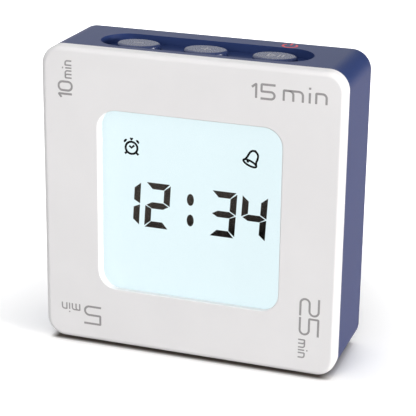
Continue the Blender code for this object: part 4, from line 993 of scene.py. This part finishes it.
for x in (-TAB_X, TAB_X):
    tab_left, tab_right = x - TAB_HALF, x + TAB_HALF
    weld(
        door,
        add_box("tab", (tab_left, TAB_FRONT, TAB_LOW), (tab_right, TAB_BACK, TAB_HIGH)),
        add_box("tab_root", (tab_left, ROOT_FRONT, ROOT_LOW), (tab_right, DOOR_SINK, TAB_HIGH)),
    )
arm_low = (-ARM_HALF, ARM_FRONT, ARM_LOW)
weld(
    door,
    add_box("latch_inner", arm_low, (ARM_HALF, DOOR_SINK, ARM_INNER_TOP)),
    add_box("latch_fold", arm_low, (ARM_HALF, ARM_FOLD_BACK, ARM_HIGH)),
    add_box("latch_outer", (-ARM_HALF, ARM_FRONT, ARM_OUTER_LOW), (ARM_HALF, REAR, ARM_HIGH)),
)
for k in range(GROOVES):
    z = GROOVE_LOW + k * GROOVE_PITCH
    half = GROOVE_HALF - k * GROOVE_STEP
    cut(door, add_box("groove", (-half, REAR - GROOVE_DEEP, z), (half, REAR + PAST, z + GROOVE_HIGH)))
round_off(door, FINE_EDGE, lambda edge: lies(edge, Y, cad_high.y) and sharp(edge), steps=2)
smooth_off(door)
fit(door, "door", "navy_shell", navy_plastic, "battery_door")


# Case screws. Four zinc-plated pan heads with a cross recess, deep in the back's counterbores. Each
# shank runs through the rear shell's post into the front shell's.
HEAD_RADIUS, HEAD_LOW, HEAD_HIGH, HEAD_EDGE = 0.0019, 0.0123, 0.0137, 0.00045
SHANK_RADIUS, SHANK_END, SHANK_SINK = 0.0010, 0.0033, 0.0004
CROSS_LONG, CROSS_WIDE, CROSS_DEEP = 0.0011, 0.00024, 0.0007
x, z = CASE_POSTS[0]
screw = add_rod("case_screw_head_1", (x, HEAD_LOW, z), (x, HEAD_HIGH, z), HEAD_RADIUS, sides=40)
round_off(screw, HEAD_EDGE, lambda edge: lies(edge, Y, at(0, HEAD_HIGH, 0).y))
weld(screw, add_rod("shank", (x, SHANK_END, z), (x, HEAD_LOW + SHANK_SINK, z), SHANK_RADIUS, sides=24))
for reach_x, reach_z in ((CROSS_LONG, CROSS_WIDE), (CROSS_WIDE, CROSS_LONG)):
    cross_low = (x - reach_x, HEAD_HIGH - CROSS_DEEP, z - reach_z)
    cut(screw, add_box("cross", cross_low, (x + reach_x, HEAD_HIGH + PAST, z + reach_z)))
smooth_off(screw)
screws = [screw]
for k, (other_x, other_z) in enumerate(CASE_POSTS[1:], 2):
    screws.append(copy_to(screw, f"case_screw_head_{k}", other_x - x, other_z - z))
for k, piece in enumerate(screws, 1):
    fit(piece, "case", "screw_steel", zinc, f"case_screw_{k}")


new_low, new_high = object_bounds()
sizes = {"cad": [list(cad_low), list(cad_high)], "visual": [list(new_low), list(new_high)]}
